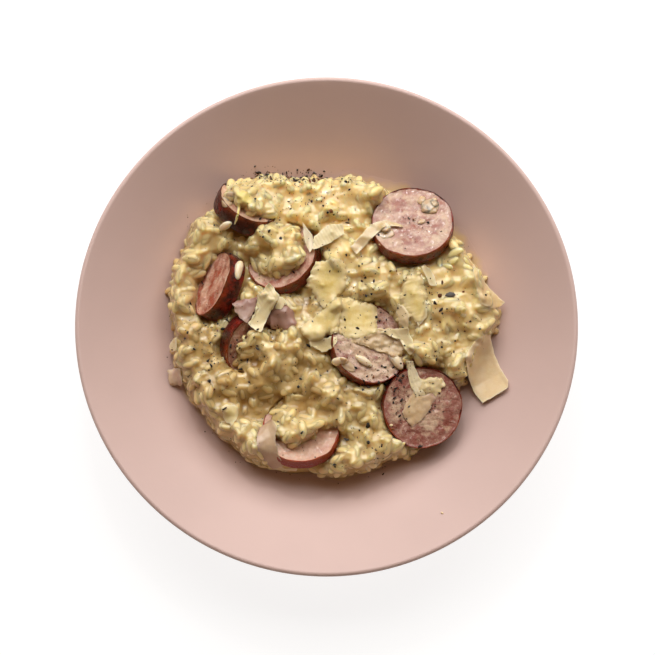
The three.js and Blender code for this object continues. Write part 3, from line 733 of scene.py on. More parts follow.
def rice_paint(name, colour, deep, wet, scatter):
    """Cooked rice in cream: ochre where an attribute says it lies deep, partly deeper cream and partly
    painted shade, and paler where it is below zero, as painted light. wet is its roughness, scatter
    how far light goes into it, in millimetres."""
    paint = Paint(
        name, Subsurface_Weight=1.0, Subsurface_Radius=(1.0, 0.86, 0.6), Subsurface_Scale=scatter * MM,
        Roughness=wet, Coat_Weight=0.7, Coat_Roughness=0.08, IOR=1.42,
    )
    hollow_shade = paint.plus(paint.attribute("hollow_shade"), paint.ramp(paint.noise(0.12, 3), 0.3, 0.7, -0.18, 0.18))
    # Ochre towards the deep colour: partly thicker cream, partly painted shade.
    tone = paint.mix(paint.ramp(hollow_shade, 0.15, 1.1), colour, deep)
    # Paler where the shade patches go below zero: painted light.
    tone = paint.mix(paint.ramp(hollow_shade, 0.1, -0.6), tone, shade(colour, 1.16, 1.16, 1.14))
    pale = paint.ramp(paint.attribute("tint"), 0, 1, 0, 0.4)
    tone = paint.mix(pale, tone, shade(colour, 1.08, 1.1, 1.18))
    cells = {"Vector": paint.place, "Scale": 0.42 / MM, "Randomness": 1.0}
    specks = paint.add("ShaderNodeTexVoronoi", cells).outputs["Distance"]
    dust = paint.times(paint.ramp(specks, 0.1, 0.05), paint.ramp(paint.noise(0.05, 2), 0.52, 0.62))
    paint.set(Base_Color=paint.mix(paint.times(dust, 0.55), tone, SPICE_DUST))
    paint.bump(paint.noise(0.9, 4, 0.6), 0.15, 0.6)
    return paint.material


def meat_paint(settings):
    """Cut sausage from the attributes: tint colours the meat, fat is its share of pale flecks, smear
    its share of cream smears, skin marks the casing, rim a painted highlight along the cut edge and
    warm its redder parts. The pale wet streaks and thin veins are partly painted highlights."""
    paint = Paint(
        "smoked sausage", Subsurface_Weight=0.2, Subsurface_Radius=(1.0, 0.45, 0.3), IOR=1.38,
        Subsurface_Scale=1.0 * MM, Coat_Weight=0.5, Coat_Roughness=0.08, Specular_IOR_Level=0.3,
    )
    tint, fat, warm = paint.attribute("tint", "Color"), paint.attribute("fat"), paint.attribute("warm")
    clouds = paint.ramp(paint.noise(0.13, 4, 0.6), 0.38, 0.66)
    meat = paint.mix(clouds, tint, paint.mix(0.24, tint, MEAT_CLOUD))
    fine = paint.ramp(paint.noise(1.1, 5, 0.75), 0.4, 0.7)
    meat = paint.mix(paint.times(fine, 0.22), meat, MEAT_GRAIN)
    lumps = paint.plus(paint.noise(0.24, 5, 0.7), paint.times(fat, 0.2))
    meat = paint.mix(paint.ramp(lumps, 0.55, 0.85, 0, 0.5), meat, settings.fat)
    # Pale wet streaks: partly fat, partly painted highlights of the wet face.
    wet = paint.plus(paint.noise(0.55, 5, 0.7), paint.times(fat, 0.08))
    meat = paint.mix(paint.ramp(wet, 0.58, 0.68, 0, 0.45), meat, FAT_AND_WET_GLINT)
    wash = paint.plus(paint.noise(0.3, 5, 0.65), paint.times(paint.attribute("smear"), 0.26))
    meat = paint.mix(paint.ramp(wash, 0.58, 0.86, 0, 0.8), meat, settings.sauce)
    # Thin pale veins in the fat's colour: partly fat, partly painted highlights of wet streaks.
    veins_and_glints = paint.math("ABSOLUTE", paint.math("SUBTRACT", paint.noise(0.2, 5, 0.65), 0.5), 0)
    veins_and_glints = paint.times(paint.ramp(veins_and_glints, 0.014, 0.003), paint.ramp(paint.noise(0.07, 2), 0.5, 0.62))
    meat = paint.mix(paint.times(veins_and_glints, 0.5), meat, settings.fat)
    glow = paint.plus(paint.ramp(paint.noise(0.3, 4), 0.55, 0.7, 0, 0.4), warm)
    casing = paint.mix(paint.ramp(glow, 0, 1), settings.casing, RED_CASING)
    burnt = paint.math("SUBTRACT", paint.noise(0.26, 4, 0.6), paint.times(warm, 0.25))
    casing = paint.mix(paint.ramp(burnt, 0.42, 0.6, 0, 0.85), casing, BURNT_CASING)
    # Painted highlight: a lighter orange line along the casing's cut edge.
    rim = paint.times(paint.attribute("rim"), paint.ramp(paint.noise(0.15, 3), 0.4, 0.6, 0.3, 0.9))
    casing = paint.mix(rim, casing, CASING_EDGE_HIGHLIGHT)
    edge = paint.ramp(paint.attribute("skin"), 0.35, 0.65)
    paint.set(Base_Color=paint.mix(edge, meat, casing))
    gloss = paint.ramp(paint.noise(0.6, 3), 0.3, 0.7, 0.36, 0.66)
    paint.set(Roughness=paint.math("SUBTRACT", gloss, paint.times(edge, 0.14)))
    paint.bump(paint.noise(1.0, 5, 0.66), 0.6, 1.0)
    return paint.material


def cheese_paint(settings):
    """Hard cheese, waxy and slightly see-through: tint from an attribute, pale at its thin edges,
    and towards the colour of what lies below where the attribute veil says so."""
    paint = Paint(
        "hard cheese", Subsurface_Weight=0.5, Subsurface_Radius=(1.0, 0.8, 0.45), Subsurface_Scale=0.5 * MM,
        Coat_Weight=0.25, Coat_Roughness=0.2, IOR=1.45,
    )
    tint = paint.attribute("tint", "Color")
    clouds = paint.ramp(paint.noise(0.22, 4, 0.6), 0.38, 0.66)
    tone = paint.mix(clouds, tint, paint.mix(0.2, tint, settings.edge))
    grain = paint.ramp(paint.noise(1.3, 3, 0.6), 0.5, 0.7)
    tone = paint.mix(paint.times(grain, 0.15), tone, settings.edge)
    tone = paint.mix(paint.times(paint.attribute("edge"), 0.65), tone, settings.edge)
    see = paint.times(paint.attribute("veil"), paint.ramp(paint.noise(0.12, 3), 0.3, 0.7, 0.75, 1.1))
    tone = paint.mix(see, tone, paint.attribute("below", "Color"))
    paint.set(Base_Color=tone, Roughness=paint.ramp(paint.noise(0.4, 3), 0.3, 0.7, 0.28, 0.46))
    paint.bump(paint.noise(1.2, 4, 0.6), 0.14, 0.6)
    return paint.material


def spice_paint(name):
    """Dry flakes and crumbs, coloured one by one from the attribute tint."""
    paint = Paint(name, Roughness=0.6, Specular_IOR_Level=0.4)
    paint.set(Base_Color=paint.attribute("tint", "Color"))
    return paint.material


def film_paint(cream, glaze):
    """A thin wet film of cream: the attribute thin turns it from cream to the glaze below it."""
    paint = Paint("cream film", Roughness=0.35, Coat_Weight=0.2, Coat_Roughness=0.15, IOR=1.35)
    patchy = paint.plus(paint.attribute("thin"), paint.ramp(paint.noise(0.16, 4), 0.3, 0.7, -0.3, 0.3))
    paint.set(Base_Color=paint.mix(paint.ramp(patchy, 0.0, 0.9), cream, glaze))
    paint.bump(paint.noise(0.6, 3), 0.1, 0.4)
    return paint.material


# ---------------------------------------------------------------- shapes

landscape = {}  # height fields that the operators share, in millimetres


def lathe(profile, segments):
    """A closed surface of revolution: the profile's radius and height go round Z. The profile runs
    from the middle of the underside to the middle of the top, and each end becomes one point."""
    angle = np.arange(segments) * math.tau / segments
    ring = profile[1:-1]
    x, y = ring[:, :1] * np.cos(angle), ring[:, :1] * np.sin(angle)
    body = np.stack([x, y, np.broadcast_to(ring[:, 1:], x.shape)], -1).reshape(-1, 3)
    points = np.concatenate([body, [[0, 0, profile[0, 1]], [0, 0, profile[-1, 1]]]])
    return points, [faces[:, ::-1] for faces in closed_faces(len(ring), segments)]


def arc(cx, cz, radius, start, end, steps):
    """Points of a circular arc in the profile plane, angles in radians."""
    a = np.linspace(start, end, steps)
    return np.column_stack([cx + radius * np.cos(a), cz + radius * np.sin(a)])


def plate_profile(radius, height):
    """The plate's section from the middle of the underside, out round the lip and back to the middle."""
    lip, _, floor = wall_run(radius, height)
    down, ring = -math.pi / 2, FOOT_ROUNDING
    recess = FLOOR_TOP - FLOOR_THICKNESS
    bend_z = FLOOR_TOP + BEND_RADIUS
    under = arc(floor, bend_z, BEND_RADIUS + FLOOR_THICKNESS, down, down + WALL_SLOPE, 12)
    outer_lip = arc(*lip, LIP_RADIUS, down + WALL_SLOPE, math.pi / 2 + WALL_SLOPE, 20)
    inner = arc(floor, bend_z, BEND_RADIUS, down + WALL_SLOPE, down, 16)
    return np.concatenate([
        [[0, recess], [FOOT_INNER * 0.5, recess], [FOOT_INNER - 3, recess]],
        arc(FOOT_INNER + ring, ring, ring, math.pi, 1.5 * math.pi, 6),
        arc(FOOT_OUTER - ring, ring, ring, -math.pi / 2, 0, 6),
        [[FOOT_OUTER + 0.4, recess * 0.9]],
        under,
        np.linspace(under[-1], outer_lip[0], 12)[1:-1],
        outer_lip,
        np.linspace(outer_lip[-1], inner[0], 16)[1:-1],
        inner,
        [[floor * 0.6, FLOOR_TOP], [floor * 0.3, FLOOR_TOP], [0, FLOOR_TOP]],
    ])


def grain_template():
    """A closed plump spindle along X, one unit long each way: rings from pole to pole."""
    t = np.cos(np.linspace(0, math.pi, GRAIN_RINGS + 2))[1:-1, None]
    a = np.arange(GRAIN_SIDES) * math.tau / GRAIN_SIDES
    swell = (1 - np.abs(t) ** 2.5) ** 0.52
    rings = np.stack([np.repeat(t, GRAIN_SIDES, 1), swell * np.cos(a), swell * np.sin(a)], -1)
    points = np.concatenate([rings.reshape(-1, 3), [[1, 0, 0], [-1, 0, 0]]])
    return points, closed_faces(GRAIN_RINGS, GRAIN_SIDES)


def grain_mesh(rows, rng):
    """Rice grains as one mesh: each template point is scaled, bent, tapered and turned into place.
    A row holds a grain's middle, turn, slopes along and across, half length, width and height, bend."""
    x, y, z, turn, slope_a, slope_b, half_l, half_w, half_h, bend = np.array(rows).T
    base, template = grain_template()
    count = len(rows)
    ahead = np.stack([np.cos(turn), np.sin(turn), slope_a], -1)
    ahead /= np.linalg.norm(ahead, axis=1, keepdims=True)
    side = np.stack([-np.sin(turn), np.cos(turn), slope_b], -1)
    up = np.cross(ahead, side)
    up /= np.linalg.norm(up, axis=1, keepdims=True)
    side = np.cross(up, ahead)
    along = base[None, :, 0]
    taper = 1 + rng.uniform(-GRAIN_TAPER, GRAIN_TAPER, count)[:, None] * along
    u = along * half_l[:, None]
    v = base[None, :, 1] * half_w[:, None] * taper + bend[:, None] * (along**2 - 0.4)
    w = base[None, :, 2] * half_h[:, None] * taper
    around = np.arctan2(base[:, 2], base[:, 1])[None]
    phase = rng.uniform(0, math.tau, (3, count, 1))
    lumps = 1 + GRAIN_LUMPS * (np.sin(3.5 * along + phase[0]) + np.sin(2 * around + phase[1]))
    lumps = (lumps + 0.04 * np.sin(3 * around - 3 * along + phase[2]))[..., None]
    points = np.stack([x, y, z], -1)[:, None] + u[..., None] * ahead[:, None]
    points = points + v[..., None] * lumps * side[:, None] + w[..., None] * lumps * up[:, None]
    faces = [repeated(part, count, len(base)) for part in template]
    return points.reshape(-1, 3), faces, np.repeat(rng.uniform(0, 1, count), len(base))


def drop_grain(grains, ground, x, y, turn, size, rng, settle=0.8, sink=0.5):
    """Lays one grain on the ground field and raises the field by it. It tilts with the slope under
    it and comes to rest where the share settle of its underside touches, less sink."""
    half_l, half_w, half_h = size
    reach = int(math.ceil((half_l + 0.5) / FIELD_STEP))
    i, j = int(round((x + FIELD_HALF) / FIELD_STEP)), int(round((y + FIELD_HALF) / FIELD_STEP))
    window = (slice(i - reach, i + reach + 1), slice(j - reach, j + reach + 1))
    dx, dy = FIELD_X[window] - x, FIELD_Y[window] - y
    a = dx * math.cos(turn) + dy * math.sin(turn)
    b = -dx * math.sin(turn) + dy * math.cos(turn)
    left = 1 - (a / half_l) ** 2 - (b / half_w) ** 2
    inside = left > 0
    here = ground[window]
    height, pa, pb = here[inside], a[inside], b[inside]
    slopes = [(way * (height - height.mean())).sum() / (way * way).sum() for way in (pa, pb)]
    slope_a, slope_b = np.clip(slopes, -GRAIN_STEEPEST, GRAIN_STEEPEST) + rng.normal(0, GRAIN_TILT, 2)
    belly = half_h * np.sqrt(left[inside])
    rest = np.quantile(height - slope_a * pa - slope_b * pb + belly, settle) - sink
    top = rest + slope_a * pa + slope_b * pb + belly
    here[inside] = np.maximum(height, top)
    bend = rng.uniform(-GRAIN_BEND, GRAIN_BEND)
    grains.append((x, y, rest, turn, slope_a, slope_b, half_l, half_w, half_h, bend))


def grain_size(settings, rng, longer=1.0):
    """Half length, width and height of one grain, in millimetres."""
    half_l = settings.grain_length / MM / 2 * rng.uniform(0.82, 1.16) * longer
    half_w = settings.grain_width / MM / 2 * rng.uniform(0.85, 1.15)
    return half_l, half_w, half_w * rng.uniform(0.66, 0.86)


def raise_bed(lumps, share):
    """The heap's relief with its lumps and spoonfuls, which fade out at its edge."""
    fade = np.clip((1 - share) * HEAP_FADE, 0, 1)
    lumps = lumps * fade
    for row in SPOONFULS:
        u, v = oval_place(row, FIELD_X, FIELD_Y)
        lumps = lumps + row[5] * np.exp(-(u**2) - v**2) * fade
    return heap_top(FIELD_X, FIELD_Y) - BED_DEPTH + lumps


def slice_fields():
    """The slices' upper faces and undersides as height fields, and where a grain would be too near."""
    faces, bellies = np.full(FIELD_X.shape, -NOWHERE), np.full(FIELD_X.shape, NOWHERE)
    near = np.zeros(FIELD_X.shape)
    for cut in SLICES:
        _, high, there = slice_column(cut, FIELD_X, FIELD_Y)
        faces = np.where(there, np.maximum(faces, high), faces)
        low, _, core = slice_column(cut, FIELD_X, FIELD_Y, grow=-0.7)
        bellies = np.where(core, np.minimum(bellies, low), bellies)
        near = np.maximum(near, slice_column(cut, FIELD_X, FIELD_Y, grow=0.9)[2])
    return faces, bellies, near


def bank_rim(ground, near, settings, rng):
    """Grains in rings against the heap's side, each ring a little further in and on the one below."""
    rim = []
    for level in range(RIM_LEVELS):
        count = RIM_COUNT - 4 * level
        for k in range(count):
            angle = (k + rng.uniform(-0.4, 0.4)) / count * math.tau
            inset = RIM_INSET + RIM_STEP * level + rng.uniform(-0.7, 0.8)
            reach = float(heap_reach(np.array(angle))) - inset
            x, y = HEAP_MIDDLE + reach * np.array([math.cos(angle), math.sin(angle)])
            if sample(near, x, y) > 0.5:
                continue
            turn = angle + math.pi / 2 + rng.normal(0, 0.7)
            drop_grain(rim, ground, x, y, turn, grain_size(settings, rng), rng, settle=0.6, sink=0.6)
    return rim


def strew_top(ground, near, settings, rng):
    """Two layers of grains on the heap's top: a staggered grid of places, each moved at random, and
    taken in random order. None falls on a slice but where rice covers it."""
    top = []
    for k, sinking in enumerate(LAYER_SINKING):
        step = settings.spacing / MM * (1 + 0.25 * k)
        rows = np.arange(-FIELD_HALF + 6, FIELD_HALF - 6, step * 0.87)
        px, py = np.meshgrid(rows, np.arange(-FIELD_HALF + 6, FIELD_HALF - 6, step), indexing="ij")
        py = py + (np.arange(len(rows)) % 2)[:, None] * step / 2
        px = (px + rng.uniform(-PLACE_JITTER, PLACE_JITTER, px.shape) * step).ravel()
        py = (py + rng.uniform(-PLACE_JITTER, PLACE_JITTER, py.shape) * step).ravel()
        covered, share = in_cover(px, py)[0], heap_share(px, py)
        hidden = sample(near, px, py) > 0.5
        keep = (share < 0.965 - 0.02 * k) & (~hidden | (covered > 0.08))
        keep |= hidden & (covered > 0.3) & (share < 1.02)
        for index in rng.permutation(np.flatnonzero(keep)):
            size = grain_size(settings, rng)
            drop_grain(top, ground, px[index], py[index], rng.uniform(0, math.pi), size, rng, sink=sinking)
    return top


def pour_cream(grains_top, settings, rng):
    """The cream's height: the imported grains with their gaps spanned, less the cream's depth, but
    nowhere under a thin coat on the grains; smooth in the ponds and raised by the chunks. Also
    gives the chunks' height."""
    rich = patches(POOLS, FIELD_X, FIELD_Y)
    level = settings.cream_depth / MM + 0.3 * waves(FIELD_X, FIELD_Y, rng, 20) - 0.9 * rich
    coat = blur(grains_top, 0.45) + 0.1 + 0.3 * waves(FIELD_X, FIELD_Y, rng, 9) + 0.2 * rich
    spanned = bridged(grains_top, 1.6)
    cream = smooth_max(spanned - level, coat, 0.4)
    cream = cream + np.clip(rich - 0.25, 0, 0.9) * (blur(spanned, 2.4) + 0.5 - cream)
    cream = cream + 0.08 * waves(FIELD_X, FIELD_Y, rng, 3.4, 2)
    chunk = np.zeros(FIELD_X.shape)
    for row in CHUNKS:
        u, v = oval_place(row, FIELD_X, FIELD_Y)
        ragged = 1 + 0.3 * waves(FIELD_X, FIELD_Y, rng, 6, 2)
        chunk = np.maximum(chunk, row[5] * np.sqrt(np.clip(1 - (u * u + v * v) ** 1.5 * ragged, 0, 1)))
    lumpy = blur(grains_top, 1.6) - 0.4 + chunk + 0.25 * waves(FIELD_X, FIELD_Y, rng, 4, 2)
    return np.maximum(cream, lumpy), chunk


def plant_rice(settings):
    """Lays the rice and fills the shared height fields. Rim grains bank up against the heap's
    side, then the top is strewn and the grains settle on each other."""
    rng = np.random.default_rng(settings.seed)
    plate = plate_top(np.hypot(FIELD_X, FIELD_Y))
    share = heap_share(FIELD_X, FIELD_Y)
    bed = raise_bed(0.5 * waves(FIELD_X, FIELD_Y, rng, 15, 2), share)
    ground = np.maximum(np.where(share < 1, bed, plate), plate)
    faces, bellies, near = slice_fields()
    cover, depth = in_cover(FIELD_X, FIELD_Y)
    on_face = (cover > 0) & (faces > -NOWHERE / 10)
    ground = np.where(on_face, faces + depth * cover**0.3 - 0.9, ground)
    rim = bank_rim(ground, near, settings, rng)
    top = strew_top(ground, near, settings, rng)
    lone, with_slices = [], np.maximum(ground, faces)
    for x, y, turn, longer in LONE_GRAINS:
        size = grain_size(settings, rng, longer)
        drop_grain(lone, with_slices, x, y, math.radians(turn), size, rng, sink=0.25)
    cream, chunk = pour_cream(ground, settings, rng)
    cream = np.where(share < 1, cream, plate)
    open_face = (bellies < NOWHERE / 10) & ~on_face
    cream = np.where(open_face, np.minimum(cream, bellies + 1.0), cream)
    landscape.update(cream=cream, chunk=chunk, top=np.maximum(np.maximum(ground, with_slices), cream))
    landscape["mean"] = blur(ground, 4.5) + 0.4
    landscape["near"] = blur(highest_within(ground, 1.2), 0.8) - 0.3
    return rim, top, lone


def depth_and_shade(points):
    """How deep points lie below the mean surface round them and between the grains beside them,
    0 on the level and 1 deep down, plus the patches of painted shade and light above."""
    x, y, z = points.T
    # Ochre with depth: partly deeper cream, partly painted shade in hollows and between grains.
    wide = 0.45 * np.clip((sample(landscape["mean"], x, y) - z) / 3.4, 0, 1)
    deep = np.clip(wide + 0.1 * np.clip((sample(landscape["near"], x, y) - z) / 1.1, 0, 1), 0, 1)
    return deep + patches(PAINTED_SHADES, x, y)


def cream_surface(steps=300):
    """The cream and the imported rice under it: a square grid mapped on the heap's outline, its
    height read from the field, closed below by a shallow cone over the plate."""
    s = np.linspace(-1, 1, steps)
    u, v = np.meshgrid(s, s, indexing="ij")
    disc_x, disc_y = u * np.sqrt(1 - v * v / 2), v * np.sqrt(1 - u * u / 2)
    share, angle = np.hypot(disc_x, disc_y), np.arctan2(disc_y, disc_x)
    reach = heap_reach(angle) * share
    x = HEAP_MIDDLE[0] + reach * np.cos(angle)
    y = HEAP_MIDDLE[1] + reach * np.sin(angle)
    z = sample(landscape["cream"], x, y)
    floor = plate_top(np.hypot(x, y))
    border = share > 0.9985
    z = np.where(border, floor + CREAM_GAP, np.maximum(z, floor + CREAM_GAP))
    points = np.stack([x, y, z], -1).reshape(-1, 3)
    n = steps - 1
    k = np.arange(n)
    loop = np.concatenate([k * steps, n * steps + k, (n - k) * steps + n, n - k])[::-1]
    fan = np.stack([np.full(len(loop), len(points)), loop, np.roll(loop, -1)], -1)
    points = np.concatenate([points, [[*HEAP_MIDDLE, FLOOR_TOP + CREAM_GAP]]])
    return points, [grid_faces(steps, steps)[:, ::-1], fan]


def dollop_surface(rng, rings=10, sides=40):
    """All dollops as one mesh: each runs from its middle out over a flattened dome to a wavy rim and
    back below the face it lies on."""
    share = np.concatenate([np.linspace(0, 1, rings + 1)[1:], [0.9, 0.5]])[:, None]
    below = (np.arange(len(share)) >= rings)[:, None]
    angle = (np.arange(sides) * math.tau / sides)[None]
    points = []
    for cx, cy, half_w, half_d, turn, height in DOLLOPS:
        wavy = 1 + 0.07 * ring_waves(angle, 4, rng, 5, 2)
        u, v = half_w * share * wavy * np.cos(angle), half_d * share * wavy * np.sin(angle)
        c, s = math.cos(math.radians(turn)), math.sin(math.radians(turn))
        x, y = cx + u * c - v * s, cy + u * s + v * c
        dome = height * (1.0001 - share**2) ** 0.62 * (1 + 0.14 * waves(x, y, rng, 3, 2)) - 0.12
        z = sample(landscape["top"], x, y) + np.where(below, -0.7, dome)
        body = np.stack([x, y, z], -1).reshape(-1, 3)
        points += [body, [body[:sides].mean(0) + [0, 0, 0.01]], [body[-sides:].mean(0)]]
    each = len(share) * sides + 2
    template = closed_faces(len(share), sides)
    return np.concatenate(points), [repeated(faces, len(DOLLOPS), each) for faces in template]


def slice_rows(rings):
    """How far out from the axis each row of a slice lies and how far down its thickness, 0 to 1: out
    over the face, closer together near the rim, down the casing and back under."""
    face, skin, under = rings
    spread = 1 - (1 - np.linspace(0, 1, face + 1)[1:]) ** 1.5
    out = np.concatenate([spread, np.ones(skin), np.linspace(1, 0, under + 1)[1:-1]])
    down = np.concatenate([np.zeros(face), np.linspace(0, 1, skin + 2)[1:-1], np.ones(under - 1)])
    return out[:, None], down[:, None]


def slice_surface(cut, index, rings=(38, 12, 8), sides=200):
    """A cut slice: rows run from the middle of the upper face out to its rim, down the casing and
    back under to the middle. The face is pitted, its rim stands up, and the casing bulges and wrinkles.
    Also gives the shares of casing, painted edge highlight, smear and streaks at each point."""
    rng = np.random.default_rng(100 + index)
    across, side, normal = slice_axes(cut)
    out, down = slice_rows(rings)
    angle = (np.arange(sides) * math.tau / sides)[None]
    thick, inset = cut["thick"], (1 - out) * cut["along"]
    oval = 1 + 0.012 * np.sin(2 * angle + cut["x"]) + 0.01 * np.sin(3 * angle + cut["y"])
    oval = oval + 0.014 * ring_waves(angle, 9, rng, 9)
    bulge = BULGE * np.sin(math.pi * down) - 0.12 * (np.abs(down - 0.5) > 0.49)
    wrinkle = WRINKLE * waves(angle * 20, down * thick, rng, 5) * np.sin(math.pi * down)
    swell = (bulge + wrinkle) * (out > 0.999)
    u = (cut["across"] * out * oval + swell) * np.cos(angle)
    v = (cut["along"] * out * oval + swell) * np.sin(angle)
    on_top = (down < 1e-6) & (out <= 1)
    pits = PIT_DEPTH * waves(u, v, rng, 7.5, 4) - 0.1
    lip = RIM_HEIGHT * np.exp(-((inset / RIM_WIDTH) ** 2))
    dish = -DISH_DEPTH * (1 - out**2)
    w = -down * thick + np.where(on_top, (pits + dish) * np.clip((1 - out) * 8, 0, 1) + lip, 0)
    w = w + 0.2 * ring_waves(angle, 12, rng, 9) * (1 - down) * out**3
    rough = 0.07 * grit(u, v, rng, 0.55) + 0.09 * grit(u, v, rng, 1.2)
    w = w + on_top * rough * np.clip((1 - out) * 9, 0, 1)
    middle = np.array([cut["x"], cut["y"], cut["z"]])
    body = middle + u[..., None] * across + v[..., None] * side + w[..., None] * normal
    smear = np.zeros(u.shape)
    for row in SMEARS:
        a, b = oval_place(row, body[..., 0], body[..., 1])
        smear = smear + np.exp(-(a**2) - b**2)
    smear = np.clip(smear * (0.7 + 0.3 * grit(u, v, rng, 1.4) + 0.2 * grit(u, v, rng, 0.5)), 0, 1) * on_top
    body = (body + (SMEAR_HEIGHT * smear)[..., None] * normal).reshape(-1, 3)
    points = np.concatenate([body, [body[:sides].mean(0), body[-sides:].mean(0)]])
    ring = inset - CASING_WIDTH - 0.3 * ring_waves(angle, 20, rng, 12)
    casing = np.clip(0.5 - ring / 0.5, 0, 1) * (down < 0.97)
    ahead = np.cos(angle) * across[1] + np.sin(angle) * side[1]
    # The rim share paints a highlight: a lighter line along the casing's cut edge, on the near side.
    rim = np.where(down > 0, np.exp(-down * thick / 1.2), np.clip(1 - inset / 0.5, 0, 1))
    rim = rim * np.clip(0.5 - ahead, 0, 1)
    streak = grit(u * 1.2, v * 0.5, rng, 1.0) * np.clip((1 - out) * 6, 0, 1)
    fields = (np.broadcast_to(f, u.shape).ravel() for f in (casing, rim, smear, streak))
    return points, closed_faces(len(out), sides), [np.append(f, [0, 0]) for f in fields]


def crowd(count):
    """Steps from 0 to 1 that lie closer together towards both ends, along half a cosine wave."""
    t = np.linspace(0, 1, count)
    return 0.35 * t + 0.65 * (0.5 - 0.5 * np.cos(math.pi * t))


def side_points(points, count, torn, rng):
    """A polyline's points, closer together near its ends, its kinks eased, its inner points moved
    sideways by waves."""
    points = np.array(points, float)
    at = np.concatenate([[0], np.cumsum(np.hypot(*np.diff(points, axis=0).T))])
    even = crowd(count) * at[-1]
    line = np.column_stack([np.interp(even, at, points[:, k]) for k in (0, 1)])
    for _ in range(count // 8):
        line[1:-1] = (line[:-2] + 2 * line[1:-1] + line[2:]) / 4
    ahead = np.gradient(line, axis=0)
    ahead /= np.linalg.norm(ahead, axis=1, keepdims=True) + 1e-9
    taper = np.clip(np.minimum(even, at[-1] - even) / 1.2, 0, 1)
    wobble = torn * waves(even, 0 * even, rng, 4, 3) * taper
    return line + wobble[:, None] * np.column_stack([-ahead[:, 1], ahead[:, 0]])


def sheet_plan(sides, step, torn, rng):
    """A sheet seen from above as a Coons patch: the two blends between opposite sides, less the
    blend of the corners. Also gives u and v from 0 to 1 and the sheet's mean width and length."""
    ends = [side + [sides[(k + 1) % 4][0]] for k, side in enumerate(sides)]
    lengths = [np.hypot(*np.diff(np.array(end, float), axis=0).T).sum() for end in ends]
    width, length = (lengths[0] + lengths[2]) / 2, (lengths[1] + lengths[3]) / 2
    columns, rows = max(5, int(width / step)), max(5, int(length / step))
    low, high = side_points(ends[0], columns, torn, rng), side_points(ends[2], columns, torn, rng)[::-1]
    right, left = side_points(ends[1], rows, torn, rng), side_points(ends[3], rows, torn, rng)[::-1]
    u, v = crowd(columns)[:, None, None], crowd(rows)[None, :, None]
    corners = low[0] * (1 - u) * (1 - v) + low[-1] * u * (1 - v) + high[0] * (1 - u) * v + high[-1] * u * v
    plan = low[:, None] * (1 - v) + high[:, None] * v + left[None] * (1 - u) + right[None] * u - corners
    return plan, u[..., 0], v[..., 0], width, length


def slab(top, thickness):
    """A closed sheet: the given surface, and a copy moved back along its normals, joined round the
    border."""
    if np.cross(top[-1, 0] - top[0, 0], top[0, -1] - top[0, 0])[2] < 0:
        top, thickness = top[:, ::-1], thickness[:, ::-1]
    normal = np.cross(np.gradient(top, axis=0), np.gradient(top, axis=1))
    normal /= np.linalg.norm(normal, axis=-1, keepdims=True) + 1e-9
    back = top - normal * thickness[..., None]
    rows, cols = top.shape[:2]
    count = rows * cols
    quads = grid_faces(rows, cols)
    j, i, last = np.arange(cols - 1), np.arange(rows - 1), (rows - 1) * cols
    loop = np.concatenate([j, i * cols + cols - 1, last + cols - 1 - j, last - i * cols])[::-1]
    nxt = np.roll(loop, -1)
    border = np.stack([loop + count, nxt + count, nxt, loop], -1)
    points = np.concatenate([top.reshape(-1, 3), back.reshape(-1, 3)])
    return points, [np.concatenate([quads[:, ::-1], quads + count, border])]


def cheese_sheet(sheet, thickness, rng):
    """A shaving laid on the food. Its height follows the food's top, or a bridge over its gaps where
    the sheet is stiff, plus its corners' lift and a curl that fades in from the border. The food's
    top is raised by it."""
    plan, u, v, width, length = sheet_plan(sheet["sides"], SHEET_STEP, sheet["torn"], rng)
    x, y = plan[..., 0], plan[..., 1]
    top = landscape["top"]
    limp = sample(blur(top, 0.55), x, y) + 0.1
    span = sample(blur(bridged(top, 4.0), 1.6), x, y) + 0.4
    z = smooth_max(limp + (span - limp) * sheet["stiff"], limp, 0.5)
    weights = [(1 - u) * (1 - v), u * (1 - v), u * v, (1 - u) * v]
    z = z + sum(lift * weight**1.7 for lift, weight in zip(sheet["lift"], weights))
    away = [v * length, (1 - u) * width, (1 - v) * length, u * width]
    inward = np.minimum(np.minimum(away[0], away[2]), np.minimum(away[1], away[3]))
    melt = sum(share * np.exp(-way / MELT_REACH) for share, way in zip(sheet["melt"], away))
    melt = np.clip(melt * (1 + 0.4 * waves(x, y, rng, 4, 2)), 0, 1)
    ripple = waves(x, y, rng, 9, 2)
    z = z + 0.25 * np.clip(inward / 1.2, 0, 1)
    z = z + sheet["curl"] * np.exp(-inward / CURL_REACH) * (0.3 + ripple)
    z = z + 0.05 * waves(x, y, rng, 3.2, 3) + sheet["rough"] * grit(x, y, rng, 0.7)
    z = z + sheet["ribs"] * np.sin(math.tau * u * width / RIB_SPACING)
    z = z * (1 - melt) + (sample(blur(top, 0.4), x, y) - MELT_SINK) * melt
    z = z + sheet["crease"] * np.clip(v - 0.72, 0, 1) * length
    z = z + 0.09 * sheet["ridges"] * np.sin(math.tau * (x * 0.86 + y * 0.5) / RIDGE_SPACING)
    depth = thickness * (0.3 + 0.7 * np.clip(inward / THIN_REACH, 0, 1))
    points, faces = slab(np.stack([x, y, z], -1), depth)
    way = -1 if points[0, 0] != x[0, 0] else 1
    inward, melt = (np.tile(f[:, ::way], (2, 1)).ravel() for f in (inward, melt))
    i = np.round((x + FIELD_HALF) / FIELD_STEP).astype(int)
    j = np.round((y + FIELD_HALF) / FIELD_STEP).astype(int)
    np.maximum.at(top, (i, j), z)
    fringe = 0.8 * np.exp(-((inward / 3.4) ** 2)) * (sheet["tint"] == YELLOW)
    attributes = {
        "tint": np.array(sheet["tint"]) + (np.array(PALE) - sheet["tint"]) * fringe[:, None],
        "below": np.tile(MEAT if sheet["veil"] > 0.3 else CREAMY, (len(points), 1)),
        "edge": np.exp(-inward / 0.4) * (1 - melt),
        "veil": np.clip(sheet["veil"] + 0.9 * melt, 0, 1),
    }
    return points, faces, attributes


